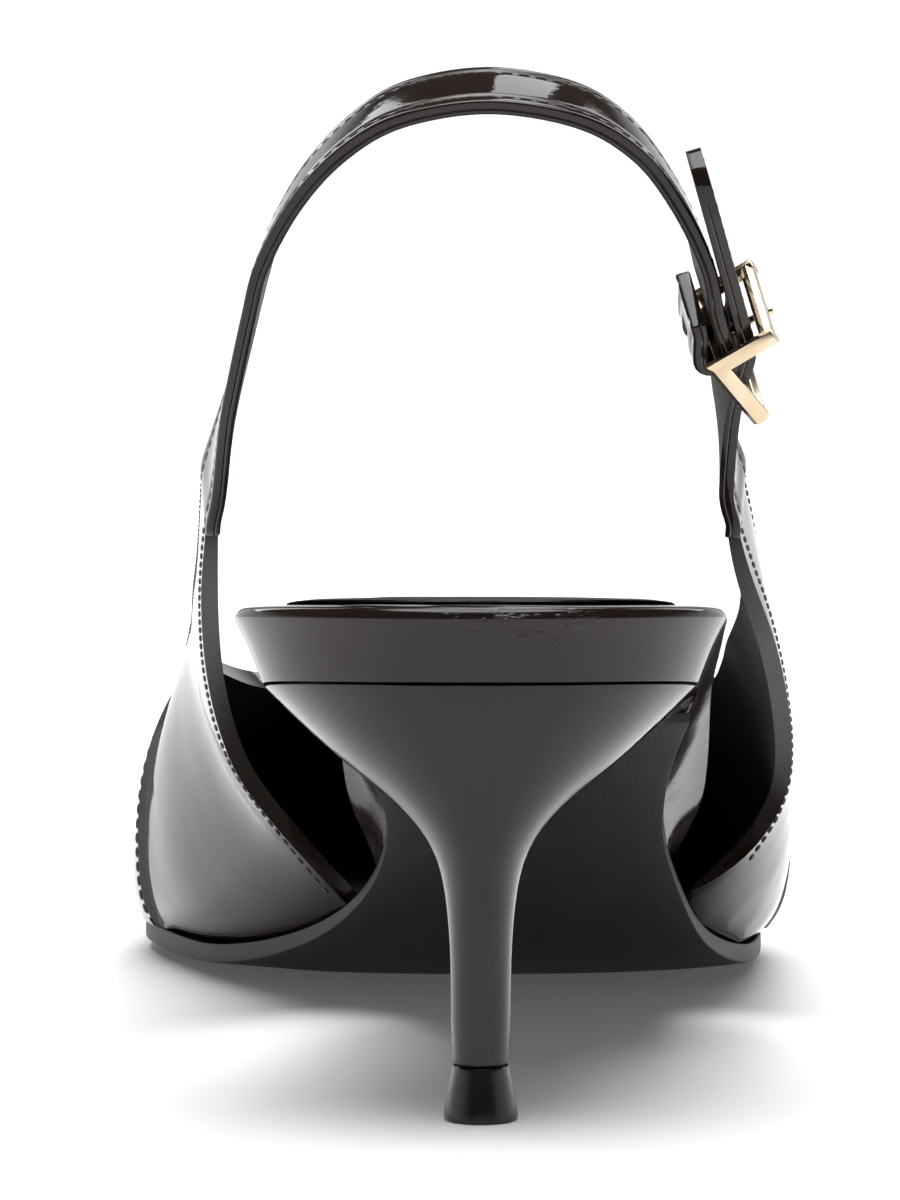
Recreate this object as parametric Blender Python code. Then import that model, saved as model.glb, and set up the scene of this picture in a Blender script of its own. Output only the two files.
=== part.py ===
# Slingback pump with a kitten heel, one right shoe.
# Metres, +Z up, +Y to the toe, +X to the outer side of the foot.
# The origin is the middle of the heel tip's floor face.

import math
from collections import namedtuple

import bmesh
import bpy
import numpy as np
from mathutils import Vector

MM = 0.001

# Sizes of the whole shoe
SHOE_LENGTH = 244 * MM          # back of the footbed to the toe tip, measured level
BALL_WIDTH = 84 * MM            # across the sole's widest stations
HEEL_HEIGHT = 52.7 * MM         # floor to the seam under the footbed's back
INSTEP_HEIGHT = 58 * MM         # sole line to the top of the last at the instep
WING_HEIGHT = 72.7 * MM         # floor to the corner where wing and strap meet
TOE_SPRING = 8.5 * MM
TIP_SETBACK = 12.6 * MM         # back of the footbed to the heel tip's middle

# Clearance between two pieces that lie on each other
GAP = 0.3 * MM

# Sole and footbed
WAIST_THICKNESS = 1.4 * MM
TREAD_THICKNESS = 4.0 * MM
TREAD_CROWN = 1.5 * MM          # how far the sole's edge is above its middle
SEAT_ROUND_LENGTH = 27 * MM
TOE_ROUND_LENGTH = 14 * MM
BAND_HEIGHT = 9.2 * MM          # wrapped band round the seat
BAND_FLARE = 3.2 * MM           # how far the band leans out at the seat
BAND_ROUNDING = 1.5 * MM
INSOLE_BOARD = 2.0 * MM
SOCK_THICKNESS = 0.9 * MM
SOCK_INSET = 5.8 * MM
SOCK_FRONT = 0.93               # share of the length where the sock lining ends

# Heel
BREAST_ALONG = 48 * MM          # back of the footbed to the heel breast
STEM_WIDTH = 7.2 * MM
STEM_BACK = 8.4 * MM
STEM_FRONT = 17.1 * MM
STEM_BOW = 0.9 * MM             # how far the stem's front is rounded out
STEM_CORNER = 0.62              # width left at the stem's front corners
BREAST_CORNER = 0.95            # width left at the corners of the breast
LIFT_HEIGHT = 6.5 * MM
LIFT_WIDTH = 9.0 * MM
LIFT_FLARE = 1.0 * MM

# Upper
UPPER_WALL = 2.1 * MM
RIM_TUCK = 2.6 * MM             # width of the upper's foot on the sole
SEAM_STEP = 0.8 * MM            # the vamp lies over the quarter by this much
ROWS_ACROSS = 10                # faces from the sole edge to the top line

# Straps and buckle
STRAP_WIDTH = 9.5 * MM
STRAP_THICKNESS = 1.8 * MM
BAR_RADIUS = 0.65 * MM
FRAME_RAIL = 1.7 * MM
FRAME_THICKNESS = 2.2 * MM
PRONG_RADIUS = 0.6 * MM
HOLE_RADIUS = 0.95 * MM         # also clears the prong by GAP
HOLE_SPACING = 6.5 * MM

SEAT_BACK = -TIP_SETBACK
FRAME_WIDTH = STRAP_WIDTH + 2 * (GAP + FRAME_RAIL)

# The sole line, from the footbed's back (along 0) to the toe tip (along 1).
# medial and lateral are shares of BALL_WIDTH, rise of HEEL_HEIGHT, spring of
# TOE_SPRING, and tread says how much of the forepart's thickness is there.
SoleRow = namedtuple("SoleRow", "along medial lateral rise spring tread")
SOLE_LINE = [
    SoleRow(0.000, -0.307, 0.307, 1.000, 0.00, 0.00),
    SoleRow(0.049, -0.307, 0.307, 0.979, 0.00, 0.00),
    SoleRow(0.111, -0.307, 0.307, 0.943, 0.00, 0.00),
    SoleRow(0.156, -0.290, 0.305, 0.899, 0.00, 0.00),
    SoleRow(0.197, -0.245, 0.298, 0.844, 0.00, 0.00),
    SoleRow(0.246, -0.182, 0.279, 0.738, 0.00, 0.00),
    SoleRow(0.303, -0.139, 0.266, 0.603, 0.00, 0.00),
    SoleRow(0.336, -0.133, 0.266, 0.528, 0.00, 0.00),
    SoleRow(0.377, -0.140, 0.276, 0.431, 0.00, 0.00),
    SoleRow(0.430, -0.171, 0.301, 0.297, 0.00, 0.10),
    SoleRow(0.480, -0.238, 0.329, 0.156, 0.00, 0.50),
    SoleRow(0.541, -0.338, 0.376, 0.044, 0.00, 0.90),
    SoleRow(0.598, -0.420, 0.417, 0.000, 0.00, 1.00),
    SoleRow(0.656, -0.479, 0.433, 0.000, 0.00, 1.00),
    SoleRow(0.709, -0.514, 0.420, 0.000, 0.00, 1.00),
    SoleRow(0.770, -0.490, 0.357, 0.000, 0.07, 1.00),
    SoleRow(0.840, -0.405, 0.250, 0.000, 0.29, 1.00),
    SoleRow(0.910, -0.290, 0.135, 0.000, 0.57, 1.00),
    SoleRow(0.963, -0.212, 0.045, 0.000, 0.82, 1.00),
    SoleRow(1.000, -0.175, -0.005, 0.000, 1.00, 1.00),
]

# The footbed above that line. height is a share of BAND_HEIGHT, flare of
# BAND_FLARE, tuck of the upper's foot that the board stays inside of.
BedRow = namedtuple("BedRow", "along height flare tuck")
FOOTBED = [
    BedRow(0.000, 1.00, 1.00, 0.0),
    BedRow(0.150, 1.00, 1.05, 0.0),
    BedRow(0.230, 0.93, 1.30, 0.0),
    BedRow(0.310, 0.87, 1.75, 0.0),
    BedRow(0.360, 0.76, 1.60, 0.0),
    BedRow(0.395, 0.66, 0.95, 0.1),
    BedRow(0.428, 0.46, 0.10, 0.9),
    BedRow(0.450, 0.36, 0.00, 1.0),
    BedRow(0.540, 0.22, 0.00, 1.0),
    BedRow(1.000, 0.22, 0.00, 1.0),
]

# The last above the sole line. bulge is its widest place, as shares of
# BALL_WIDTH with its height as a share of INSTEP_HEIGHT, and ridge is its top.
# hollow is the roundness below the bulge and shoulder the roundness above it:
# 2 is an ellipse, more is squarer.
LastRow = namedtuple(
    "LastRow",
    "along medial_bulge medial_height medial_hollow medial_shoulder "
    "lateral_bulge lateral_height lateral_hollow lateral_shoulder ridge ridge_height",
)
LAST = [
    LastRow(0.164, -0.395, 0.330, 2.2, 2.6, 0.370, 0.191, 2.0, 3.0, 0.000, 1.053),
    LastRow(0.205, -0.398, 0.314, 2.2, 2.9, 0.385, 0.107, 2.0, 3.0, -0.005, 0.969),
    LastRow(0.270, -0.405, 0.328, 2.2, 3.2, 0.436, 0.086, 2.0, 2.1, -0.012, 0.860),
    LastRow(0.336, -0.412, 0.383, 2.2, 3.3, 0.455, 0.141, 2.0, 2.0, -0.020, 0.860),
    LastRow(0.389, -0.419, 0.462, 2.1, 3.2, 0.460, 0.169, 1.9, 2.0, -0.025, 0.900),
    LastRow(0.426, -0.423, 0.507, 1.6, 3.0, 0.463, 0.188, 1.5, 2.0, -0.030, 0.930),
    LastRow(0.459, -0.426, 0.538, 1.5, 2.8, 0.465, 0.217, 1.6, 2.0, -0.034, 0.940),
    LastRow(0.512, -0.444, 0.522, 1.7, 2.4, 0.470, 0.255, 1.9, 2.0, -0.036, 0.920),
    LastRow(0.574, -0.479, 0.414, 2.0, 2.2, 0.474, 0.259, 2.0, 2.0, -0.036, 0.830),
    LastRow(0.635, -0.510, 0.253, 2.0, 2.1, 0.469, 0.202, 2.0, 2.0, -0.036, 0.705),
    LastRow(0.697, -0.526, 0.116, 2.0, 2.0, 0.448, 0.150, 2.0, 2.0, -0.038, 0.598),
    LastRow(0.758, -0.512, 0.100, 2.0, 2.0, 0.393, 0.119, 2.0, 2.0, -0.045, 0.506),
    LastRow(0.840, -0.417, 0.090, 2.0, 2.0, 0.268, 0.090, 2.0, 2.0, -0.060, 0.376),
    LastRow(0.922, -0.280, 0.076, 2.0, 2.0, 0.129, 0.076, 2.0, 2.0, -0.083, 0.240),
    LastRow(1.000, -0.181, 0.038, 2.0, 2.0, 0.001, 0.038, 2.0, 2.0, -0.090, 0.086),
]

# Ribs of the quarters, from the strap joint forward to the throat. A rib runs
# from a low point (on the rear edge, then on the sole line where its height is
# 0) to a high point on the top line. Heights are shares of WING_HEIGHT.
WingRow = namedtuple(
    "WingRow", "low_along low_height medial_along medial_height lateral_along lateral_height"
)
QUARTERS = [
    WingRow(0.180, 0.894, 0.207, 1.000, 0.207, 1.000),
    WingRow(0.213, 0.814, 0.246, 0.933, 0.242, 0.908),
    WingRow(0.254, 0.718, 0.295, 0.875, 0.287, 0.823),
    WingRow(0.299, 0.619, 0.348, 0.818, 0.336, 0.759),
    WingRow(0.344, 0.517, 0.398, 0.770, 0.385, 0.714),
    WingRow(0.381, 0.424, 0.443, 0.724, 0.434, 0.674),
    WingRow(0.410, 0.338, 0.480, 0.685, 0.480, 0.635),
    WingRow(0.434, 0.253, 0.512, 0.646, 0.516, 0.601),
    WingRow(0.451, 0.000, 0.537, 0.618, 0.541, 0.578),
    WingRow(0.484, 0.000, 0.549, 0.604, 0.557, 0.561),
    WingRow(0.520, 0.000, 0.561, 0.590, 0.572, 0.547),
    WingRow(0.561, 0.000, 0.572, 0.579, 0.586, 0.535),
    WingRow(0.607, 0.000, 0.580, 0.569, 0.598, 0.523),
    WingRow(0.653, 0.000, 0.586, 0.563, 0.611, 0.512),
]
VAMP_WINGS = [
    WingRow(0.657, 0.000, 0.590, 0.559, 0.614, 0.509),
    WingRow(0.677, 0.000, 0.619, 0.536, 0.635, 0.493),
    WingRow(0.693, 0.000, 0.648, 0.512, 0.658, 0.476),
    WingRow(0.707, 0.000, 0.674, 0.496, 0.680, 0.470),
    WingRow(0.719, 0.000, 0.697, 0.492, 0.697, 0.480),
    WingRow(0.730, 0.000, 0.713, 0.494, 0.713, 0.490),
    WingRow(0.738, 0.000, 0.724, 0.495, 0.724, 0.494),
]
THROAT_LOW = 0.744
THROAT_ALONG = 0.730
VAMP_RIBS = 16                  # ribs from the throat to the toe tip
SEAM_FADE_RIBS = 5              # ribs over which the vamp's step eases away

# Rings of the heel from the seat down. width, back and front run from 1 at the
# seat to 0 at the stem; back_height and front_height from 1 at the seat's back
# to 0 at the tip.
HeelRow = namedtuple("HeelRow", "width back front back_height front_height")
HEEL_RINGS = [
    HeelRow(0.840, 0.98, 0.89, 0.950, 0.790),
    HeelRow(0.670, 0.90, 0.71, 0.870, 0.730),
    HeelRow(0.500, 0.79, 0.56, 0.790, 0.680),
    HeelRow(0.342, 0.68, 0.44, 0.720, 0.635),
    HeelRow(0.225, 0.57, 0.34, 0.660, 0.590),
    HeelRow(0.133, 0.46, 0.25, 0.600, 0.545),
    HeelRow(0.079, 0.36, 0.185, 0.545, 0.500),
    HeelRow(0.048, 0.27, 0.13, 0.490, 0.455),
    HeelRow(0.030, 0.19, 0.088, 0.440, 0.410),
    HeelRow(0.012, 0.09, 0.040, 0.360, 0.340),
    HeelRow(0.000, 0.02, 0.010, 0.250, 0.240),
    HeelRow(0.000, 0.00, 0.000, 0.120, 0.115),
    HeelRow(-0.012, 0.00, 0.000, 0.000, 0.000),
]

# Rings of the heel tip from the stem down: its width from the stem's (0) to
# the tip's (1), its flare front and back, and its height
LiftRow = namedtuple("LiftRow", "width flare height")
LIFT_RINGS = [
    LiftRow(-0.28, 0.00, 1.00),
    LiftRow(0.32, 0.35, 0.60),
    LiftRow(1.00, 0.95, 0.12),
    LiftRow(0.89, 0.90, 0.00),
]

# The strap loop, from above each wing up to the crown. along is a share of
# SHOE_LENGTH, height of WING_HEIGHT, the sides of STRAP_SPAN, lean is how
# steeply the strap climbs there, in degrees, and turn how far its upper edge
# leans in, as a share of its width.
STRAP_SPAN = 0.762 * BALL_WIDTH
StrapRow = namedtuple("StrapRow", "along height medial lateral lean turn")
STRAP_LOOP = [
    StrapRow(0.1710, 1.030, -0.484, 0.458, 44, 0.12),
    StrapRow(0.1300, 1.186, -0.446, 0.440, 49, 0.17),
    StrapRow(0.0988, 1.318, -0.412, 0.420, 53, 0.19),
    StrapRow(0.0832, 1.403, -0.384, 0.397, 57, 0.22),
    StrapRow(0.0664, 1.502, -0.322, 0.341, 61, 0.22),
    StrapRow(0.0525, 1.582, -0.240, 0.270, 64, 0.20),
    StrapRow(0.0430, 1.636, -0.140, 0.169, 67, 0.10),
    StrapRow(0.0390, 1.659, 0.0125, 0.0125, 68, 0.00),
]
LAYERED_FROM = 2                # row of the loop below which the outer side is the buckle's

# The buckle's centre bar, in the same shares, and how it is turned
BAR_ALONG = 0.116
BAR_HEIGHT = 1.252
BAR_SIDE = 0.417
BAR_LEAN = 49                   # climb of the strap at the bar, in degrees
BAR_TURN = 11                   # the bar's upper end leans in, in degrees
BAR_TILT = 6                    # the strap leans in as it climbs, in degrees

# The strap end that runs through the buckle, and the end of the sling that is
# folded round the bar. climb is along the strap from the bar, as a share of
# STRAP_WIDTH, and lift is out from the bar, in layers of strap.
EndRow = namedtuple("EndRow", "climb lift")
STRAP_END = [
    EndRow(-1.16, 0.50),
    EndRow(-0.55, 1.16),
    EndRow(0.00, 1.88),
    EndRow(0.63, 1.66),
    EndRow(1.60, 1.22),
    EndRow(2.98, 0.58),
]
FOLDED_END = [
    EndRow(0.21, -0.80),
    EndRow(0.42, -0.68),
    EndRow(0.64, -0.76),
]
FIRST_HOLE = 0.03               # climb of the hole that the prong is in
HOLE_COUNT = 3                  # holes further up the strap end
FRAME_DROP = -0.95              # the frame's lower bar: its climb, in strap widths
FRAME_DROP_OUT = 0.41           # and how far out it is, in strap widths
FRAME_RISE = 0.315              # the frame's upper bar
FRAME_RISE_OUT = 0.66
PRONG_HOOK = 215                # how far the prong goes round the bar, in degrees


def monotone_curve(keys, values):
    """Smooth curve through the rows of a table, with no overshoot between them."""
    keys = np.asarray(keys, dtype=float)
    values = np.asarray(values, dtype=float)
    steps = np.diff(keys)
    slopes = np.diff(values) / steps
    tangents = np.zeros(len(keys))
    tangents[0] = slopes[0]
    tangents[-1] = slopes[-1]
    for i in range(1, len(keys) - 1):
        if slopes[i - 1] * slopes[i] > 0:
            before = 2 * steps[i] + steps[i - 1]
            after = steps[i] + 2 * steps[i - 1]
            tangents[i] = (before + after) / (before / slopes[i - 1] + after / slopes[i])

    def value(key):
        key = min(max(key, keys[0]), keys[-1])
        i = min(int(np.searchsorted(keys, key, side="right")) - 1, len(steps) - 1)
        t = (key - keys[i]) / steps[i]
        return float(
            (2 * t**3 - 3 * t**2 + 1) * values[i]
            + (t**3 - 2 * t**2 + t) * steps[i] * tangents[i]
            + (3 * t**2 - 2 * t**3) * values[i + 1]
            + (t**3 - t**2) * steps[i] * tangents[i + 1]
        )

    return value


def table_curves(rows):
    """One smooth curve over along for each other column of a table."""
    along = [row.along for row in rows]
    names = [name for name in rows[0]._fields if name != "along"]
    return {name: monotone_curve(along, [getattr(row, name) for row in rows]) for name in names}


SOLE = table_curves(SOLE_LINE)
BED = table_curves(FOOTBED)
BODY = table_curves(LAST)


def end_round(along):
    """Share of the half width left by the round seat and the round toe."""
    seat = SEAT_ROUND_LENGTH / SHOE_LENGTH
    toe = TOE_ROUND_LENGTH / SHOE_LENGTH
    if along < seat:
        return math.sqrt(max(0.0, 1 - (1 - along / seat) ** 2))
    if along > 1 - toe:
        return math.sqrt(max(0.0, 1 - (1 - (1 - along) / toe) ** 2))
    return 1.0


def end_shift(along, inset):
    """How far an inset outline is drawn in at the back and at the toe."""
    seat = SEAT_ROUND_LENGTH / SHOE_LENGTH
    toe = TOE_ROUND_LENGTH / SHOE_LENGTH
    if along < seat:
        return inset * (1 - along / seat)
    if along > 1 - toe:
        return -inset * (1 - (1 - along) / toe)
    return 0.0


def sole_height(along):
    """Height of the sole line: the top of the sole, the underside of the footbed."""
    forepart = (TREAD_THICKNESS + GAP) * SOLE["tread"](along)
    return HEEL_HEIGHT * SOLE["rise"](along) + TOE_SPRING * SOLE["spring"](along) + forepart


def sole_edge(along, side, inset=0.0):
    """Point of the sole's outline on one side (-1 medial, 1 lateral), drawn in by inset."""
    medial = SOLE["medial"](along) * BALL_WIDTH
    lateral = SOLE["lateral"](along) * BALL_WIDTH
    middle = (medial + lateral) / 2
    half = ((lateral - medial) / 2 - inset) * end_round(along)
    y = SEAT_BACK + along * SHOE_LENGTH + end_shift(along, inset)
    return Vector((middle + side * half, y, sole_height(along)))


def end_stations(first, last, count, round_back=False, round_toe=False):
    """Stations between two shares of the length, closer together at a round end."""
    stations = []
    for i in range(count + 1):
        t = i / count
        if round_back and round_toe:
            t = (1 - math.cos(math.pi * t)) / 2
        elif round_back:
            t = 1 - math.cos(math.pi * t / 2)
        elif round_toe:
            t = math.sin(math.pi * t / 2)
        stations.append(first + (last - first) * t)
    return stations


def material(name, colour, roughness, metallic=0.0, coat=0.0):
    surface = bpy.data.materials.new(name)
    surface.use_nodes = True
    shader = surface.node_tree.nodes["Principled BSDF"]
    shader.inputs["Base Color"].default_value = (*colour, 1.0)
    shader.inputs["Roughness"].default_value = roughness
    shader.inputs["Metallic"].default_value = metallic
    shader.inputs["Coat Weight"].default_value = coat
    return surface


def add_object(name, points, faces, surface, outward=True):
    """Make one object from points and faces, with its faces turned outwards."""
    mesh = bpy.data.meshes.new(name)
    mesh.from_pydata([tuple(point) for point in points], [], faces)
    if outward:
        work = bmesh.new()
        work.from_mesh(mesh)
        bmesh.ops.recalc_face_normals(work, faces=work.faces)
        work.to_mesh(mesh)
        work.free()
    mesh.shade_smooth()
    mesh.set_sharp_from_angle(angle=math.radians(35))
    mesh.materials.append(surface)
    thing = bpy.data.objects.new(name, mesh)
    bpy.context.scene.collection.objects.link(thing)
    return thing


def ring_solid(name, rings, surface, closed_ends=(False, False)):
    """Closed body through rings of equal length. An end is a cap, or is drawn
    together to a line where its two halves meet."""
    points = []
    index = []
    for ring in rings:
        index.append(list(range(len(points), len(points) + len(ring))))
        points.extend(ring)
    count = len(rings[0])
    faces = []
    for a, b in zip(index[:-1], index[1:]):
        for j in range(count):
            k = (j + 1) % count
            faces.append((a[j], a[k], b[k], b[j]))
    for end, closed in zip((index[0], index[-1]), closed_ends):
        if not closed:
            faces.append(tuple(end))
    body = add_object(name, points, faces, surface)
    work = bmesh.new()
    work.from_mesh(body.data)
    bmesh.ops.remove_doubles(work, verts=work.verts, dist=GAP / 30)
    bmesh.ops.dissolve_degenerate(work, edges=work.edges, dist=GAP / 30)
    bmesh.ops.recalc_face_normals(work, faces=work.faces)
    work.to_mesh(body.data)
    work.free()
    return body


def across(left, right, shares):
    return [left.lerp(right, share) for share in shares]


def build_outsole(surface):
    """Thin sole from the heel breast to the toe, crowned so that its middle treads."""
    start = (BREAST_ALONG + GAP) / SHOE_LENGTH
    rings = []
    for along in end_stations(start, 1.0, 34, round_toe=True):
        tread = SOLE["tread"](along)
        thickness = WAIST_THICKNESS + (TREAD_THICKNESS - WAIST_THICKNESS) * tread
        left = sole_edge(along, -1) - Vector((0, 0, GAP))
        right = sole_edge(along, 1) - Vector((0, 0, GAP))
        lift = TREAD_CROWN * tread
        floor_drop = Vector((0, 0, thickness))
        edge_drop = Vector((0, 0, thickness - lift))
        low_left = left - edge_drop
        low_right = right - edge_drop
        flat = across(left - floor_drop, right - floor_drop, (0.2, 0.5, 0.8))
        ring = [left, low_left, *flat, low_right, right]
        rings.append(ring + across(right, left, (0.33, 0.67)))
    return ring_solid("outsole", rings, surface, (False, True))


def bed_height(along):
    """Thickness of the footbed over the sole line."""
    return max(INSOLE_BOARD, BAND_HEIGHT * BED["height"](along))


def bed_inset(along):
    """How far the footbed's underside is inside the sole line."""
    return (RIM_TUCK + GAP) * BED["tuck"](along)


def bed_flare(along):
    """How far the footbed's top stands out from its underside."""
    return BAND_FLARE * BED["flare"](along)


def build_insole(surface):
    """Footbed: a wrapped band round seat and waist, a thin board inside the upper."""
    rings = []
    for along in end_stations(0.0, 1.0, 50, round_back=True, round_toe=True):
        low = bed_inset(along)
        high = low - bed_flare(along)
        top = Vector((0, 0, bed_height(along)))
        corner = min(BAND_ROUNDING, bed_height(along) * 0.4)
        sides = []
        for side in (-1, 1):
            foot = sole_edge(along, side, low)
            rim = sole_edge(along, side, high) + top
            edge = [foot]
            edge.append(foot.lerp(rim, 0.5))
            edge.append(rim - Vector((0, 0, corner)))
            drawn = sole_edge(along, side, high + 0.3 * corner) + top
            edge.append(drawn - Vector((0, 0, 0.3 * corner)))
            edge.append(sole_edge(along, side, high + corner) + top)
            sides.append(edge)
        left, right = sides
        ring = left[::-1] + across(left[0], right[0], (0.33, 0.67)) + right
        rings.append(ring + across(right[-1], left[-1], (0.33, 0.67)))
    return ring_solid("insole", rings, surface, (True, True))


def build_sock(surface):
    """Thin lining on the footbed, set in from its edge."""
    rings = []
    for along in end_stations(0.0, SOCK_FRONT, 34, round_back=True):
        inset = bed_inset(along) - bed_flare(along) + SOCK_INSET * (1 - 0.75 * BED["tuck"](along))
        base = Vector((0, 0, bed_height(along) + GAP))
        top = base + Vector((0, 0, SOCK_THICKNESS))
        left = sole_edge(along, -1, inset)
        right = sole_edge(along, 1, inset)
        ring = [left + base, right + base]
        ring.append(right + top)
        ring.append(right.lerp(left, 0.5) + top)
        ring.append(left + top)
        rings.append(ring)
    return ring_solid("sock_lining", rings, surface, (True, False))


def heel_share(v, corner):
    """Half width of the heel's plan as a share, from its back (0) to its breast (1)."""
    if v > 0.5:
        return 1 - (1 - corner) * ((v - 0.5) / 0.5) ** 2
    return math.sqrt(1 - (1 - v / 0.5) ** 2)


def closed_plan(medial, lateral, shares, bow):
    """Ring from the medial corner round the back to the lateral one, and along the front."""
    front = []
    for share, point in zip(shares, across(lateral[-1], medial[-1], shares)):
        front.append(point + Vector((0, bow * (1 - (2 * share - 1) ** 2), 0)))
    return medial[::-1] + lateral[1:] + front


def build_heel(surface):
    """Kitten heel: flared under the seat, drawn in to a slim stem, with a flat breast."""
    seat_half = SOLE["lateral"](0) * BALL_WIDTH
    stem_half = STEM_WIDTH / 2
    stem_low = LIFT_HEIGHT + GAP
    reach = HEEL_HEIGHT - GAP - stem_low
    shares = [0.0, 0.012, 0.045, 0.10, 0.18, 0.28, 0.42, 0.60, 0.80, 1.0]
    front_shares = (0.2, 0.4, 0.6, 0.8)
    seat = {}
    for side in (-1, 1):
        points = [sole_edge(BREAST_ALONG / SHOE_LENGTH * share, side) for share in shares]
        seat[side] = [point - Vector((0, 0, GAP)) for point in points]
    rings = [closed_plan(seat[-1], seat[1], front_shares, 0)]
    for row in HEEL_RINGS:
        half = stem_half + (seat_half - stem_half) * row.width
        back = Vector((0, SEAT_BACK + STEM_BACK * (1 - row.back), stem_low + reach * row.back_height))
        front_y = SEAT_BACK + STEM_FRONT + (BREAST_ALONG - STEM_FRONT) * row.front
        front = Vector((0, front_y, stem_low + reach * row.front_height))
        corner = STEM_CORNER + (BREAST_CORNER - STEM_CORNER) * row.front
        ring = {}
        for side in (-1, 1):
            ring[side] = []
            for share, edge in zip(shares, seat[side]):
                seat_share = abs(edge.x) / seat_half
                width = row.front * seat_share + (1 - row.front) * heel_share(share, corner)
                ring[side].append(back.lerp(front, share) + Vector((side * half * width, 0, 0)))
        rings.append(closed_plan(ring[-1], ring[1], front_shares, STEM_BOW * (1 - row.front)))
    return ring_solid("heel", rings, surface)


def build_top_lift(surface):
    """Flared tip under the stem; its floor face is level."""
    shares = [0.0, 0.03, 0.10, 0.22, 0.40, 0.60, 0.80, 1.0]
    rings = []
    for row in LIFT_RINGS:
        half = (STEM_WIDTH + (LIFT_WIDTH - STEM_WIDTH) * row.width) / 2
        back = SEAT_BACK + STEM_BACK - LIFT_FLARE * row.flare
        front = SEAT_BACK + STEM_FRONT + LIFT_FLARE * row.flare
        ring = {}
        for side in (-1, 1):
            ring[side] = []
            for share in shares:
                x = side * half * heel_share(share, STEM_CORNER)
                y = back + (front - back) * share
                ring[side].append(Vector((x, y, LIFT_HEIGHT * row.height)))
        rings.append(closed_plan(ring[-1], ring[1], (0.25, 0.5, 0.75), STEM_BOW))
    return ring_solid("top_lift", rings, surface)


class Section:
    """Half of the last's section at one station, from the sole edge to the ridge."""

    def __init__(self, along, side):
        name = "medial" if side < 0 else "lateral"
        medial = BODY["medial_bulge"](along)
        lateral = BODY["lateral_bulge"](along)
        middle = (medial + lateral) / 2 * BALL_WIDTH
        half = (lateral - medial) / 2 * BALL_WIDTH * end_round(along)
        foot = sole_edge(along, side)
        bulge_x = middle + side * half
        bulge_z = foot.z + INSTEP_HEIGHT * BODY[name + "_height"](along)
        hollow = BODY[name + "_hollow"](along)
        shoulder = BODY[name + "_shoulder"](along)
        ridge_x = middle + (BODY["ridge"](along) * BALL_WIDTH - middle) * end_round(along)
        ridge_z = foot.z + INSTEP_HEIGHT * BODY["ridge_height"](along)
        self.y = foot.y
        points = []
        steps = 16
        for i in range(steps + 1):
            angle = math.pi / 2 * i / steps
            out = math.sin(angle) ** (2 / hollow)
            up = 1 - math.cos(angle) ** (2 / hollow)
            points.append((foot.x + (bulge_x - foot.x) * out, foot.z + (bulge_z - foot.z) * up))
        for i in range(1, 2 * steps + 1):
            angle = math.pi / 2 * i / (2 * steps)
            out = math.cos(angle) ** (2 / shoulder)
            up = math.sin(angle) ** (2 / shoulder)
            x = ridge_x + (bulge_x - ridge_x) * out
            points.append((x, bulge_z + (ridge_z - bulge_z) * up))
        self.x, self.z = np.array(points).T
        length = np.hypot(np.diff(self.x), np.diff(self.z))
        self.share = np.concatenate([[0.0], np.cumsum(length)])
        self.share /= self.share[-1]

    def share_at_height(self, height):
        return float(np.interp(height, self.z, self.share))

    def point(self, share):
        x = float(np.interp(share, self.share, self.x))
        z = float(np.interp(share, self.share, self.z))
        return Vector((x, self.y, z))


def rib(side, low_along, low_share, high_along, high_share):
    """Points of the last from a rib's low end to its high end."""
    points = []
    for j in range(ROWS_ACROSS + 1):
        t = j / ROWS_ACROSS
        along = low_along + (high_along - low_along) * t
        share = low_share + (high_share - low_share) * t
        points.append(Section(along, side).point(share))
    return points


def quarter_ribs(side, rows):
    """Ribs that end on the top line."""
    ribs = []
    for row in rows:
        if side < 0:
            high_along, high = row.medial_along, row.medial_height
        else:
            high_along, high = row.lateral_along, row.lateral_height
        low_share = 0.0
        if row.low_height > 0:
            low_share = Section(row.low_along, side).share_at_height(row.low_height * WING_HEIGHT)
        high_share = Section(high_along, side).share_at_height(high * WING_HEIGHT)
        ribs.append(rib(side, row.low_along, low_share, high_along, high_share))
    return ribs


def vamp_ribs(side):
    """Ribs that end on the ridge, from the throat to the toe tip."""
    ribs = []
    lows = end_stations(THROAT_LOW, 1.0, VAMP_RIBS, round_toe=True)
    highs = end_stations(THROAT_ALONG, 1.0, VAMP_RIBS, round_toe=True)
    for low, high in zip(lows, highs):
        ribs.append(rib(side, low, 0.0, high, 1.0))
    return ribs


def build_upper(surface):
    """Vamp and both quarters as one hollow shell, open below and at the top line."""
    quarter_count = len(QUARTERS)
    wing_count = quarter_count + len(VAMP_WINGS)
    columns = ROWS_ACROSS + 1
    points = []
    raised = []
    grid = {}
    for side in (-1, 1):
        ribs = quarter_ribs(side, QUARTERS) + quarter_ribs(side, VAMP_WINGS) + vamp_ribs(side)
        last = len(ribs) - 1
        for k, line in enumerate(ribs):
            past_seam = k - quarter_count
            step = 0.0
            if 0 <= past_seam < SEAM_FADE_RIBS:
                step = SEAM_STEP * (1 - past_seam / SEAM_FADE_RIBS)
            for j, point in enumerate(line):
                on_ridge = k >= wing_count and j == columns - 1
                if side > 0 and (on_ridge or k == last):
                    grid[side, k, j] = grid[-1, k, j]
                    continue
                grid[side, k, j] = len(points)
                points.append(point)
                raised.append(step)
    sheet = []
    for side in (-1, 1):
        for k in range(last):
            for j in range(columns - 1):
                corners = [grid[side, k, j], grid[side, k + 1, j]]
                corners += [grid[side, k + 1, j + 1], grid[side, k, j + 1]]
                sheet.append(tuple(corners if side < 0 else corners[::-1]))
    return thick_sheet("upper", points, raised, sheet, surface)


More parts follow.
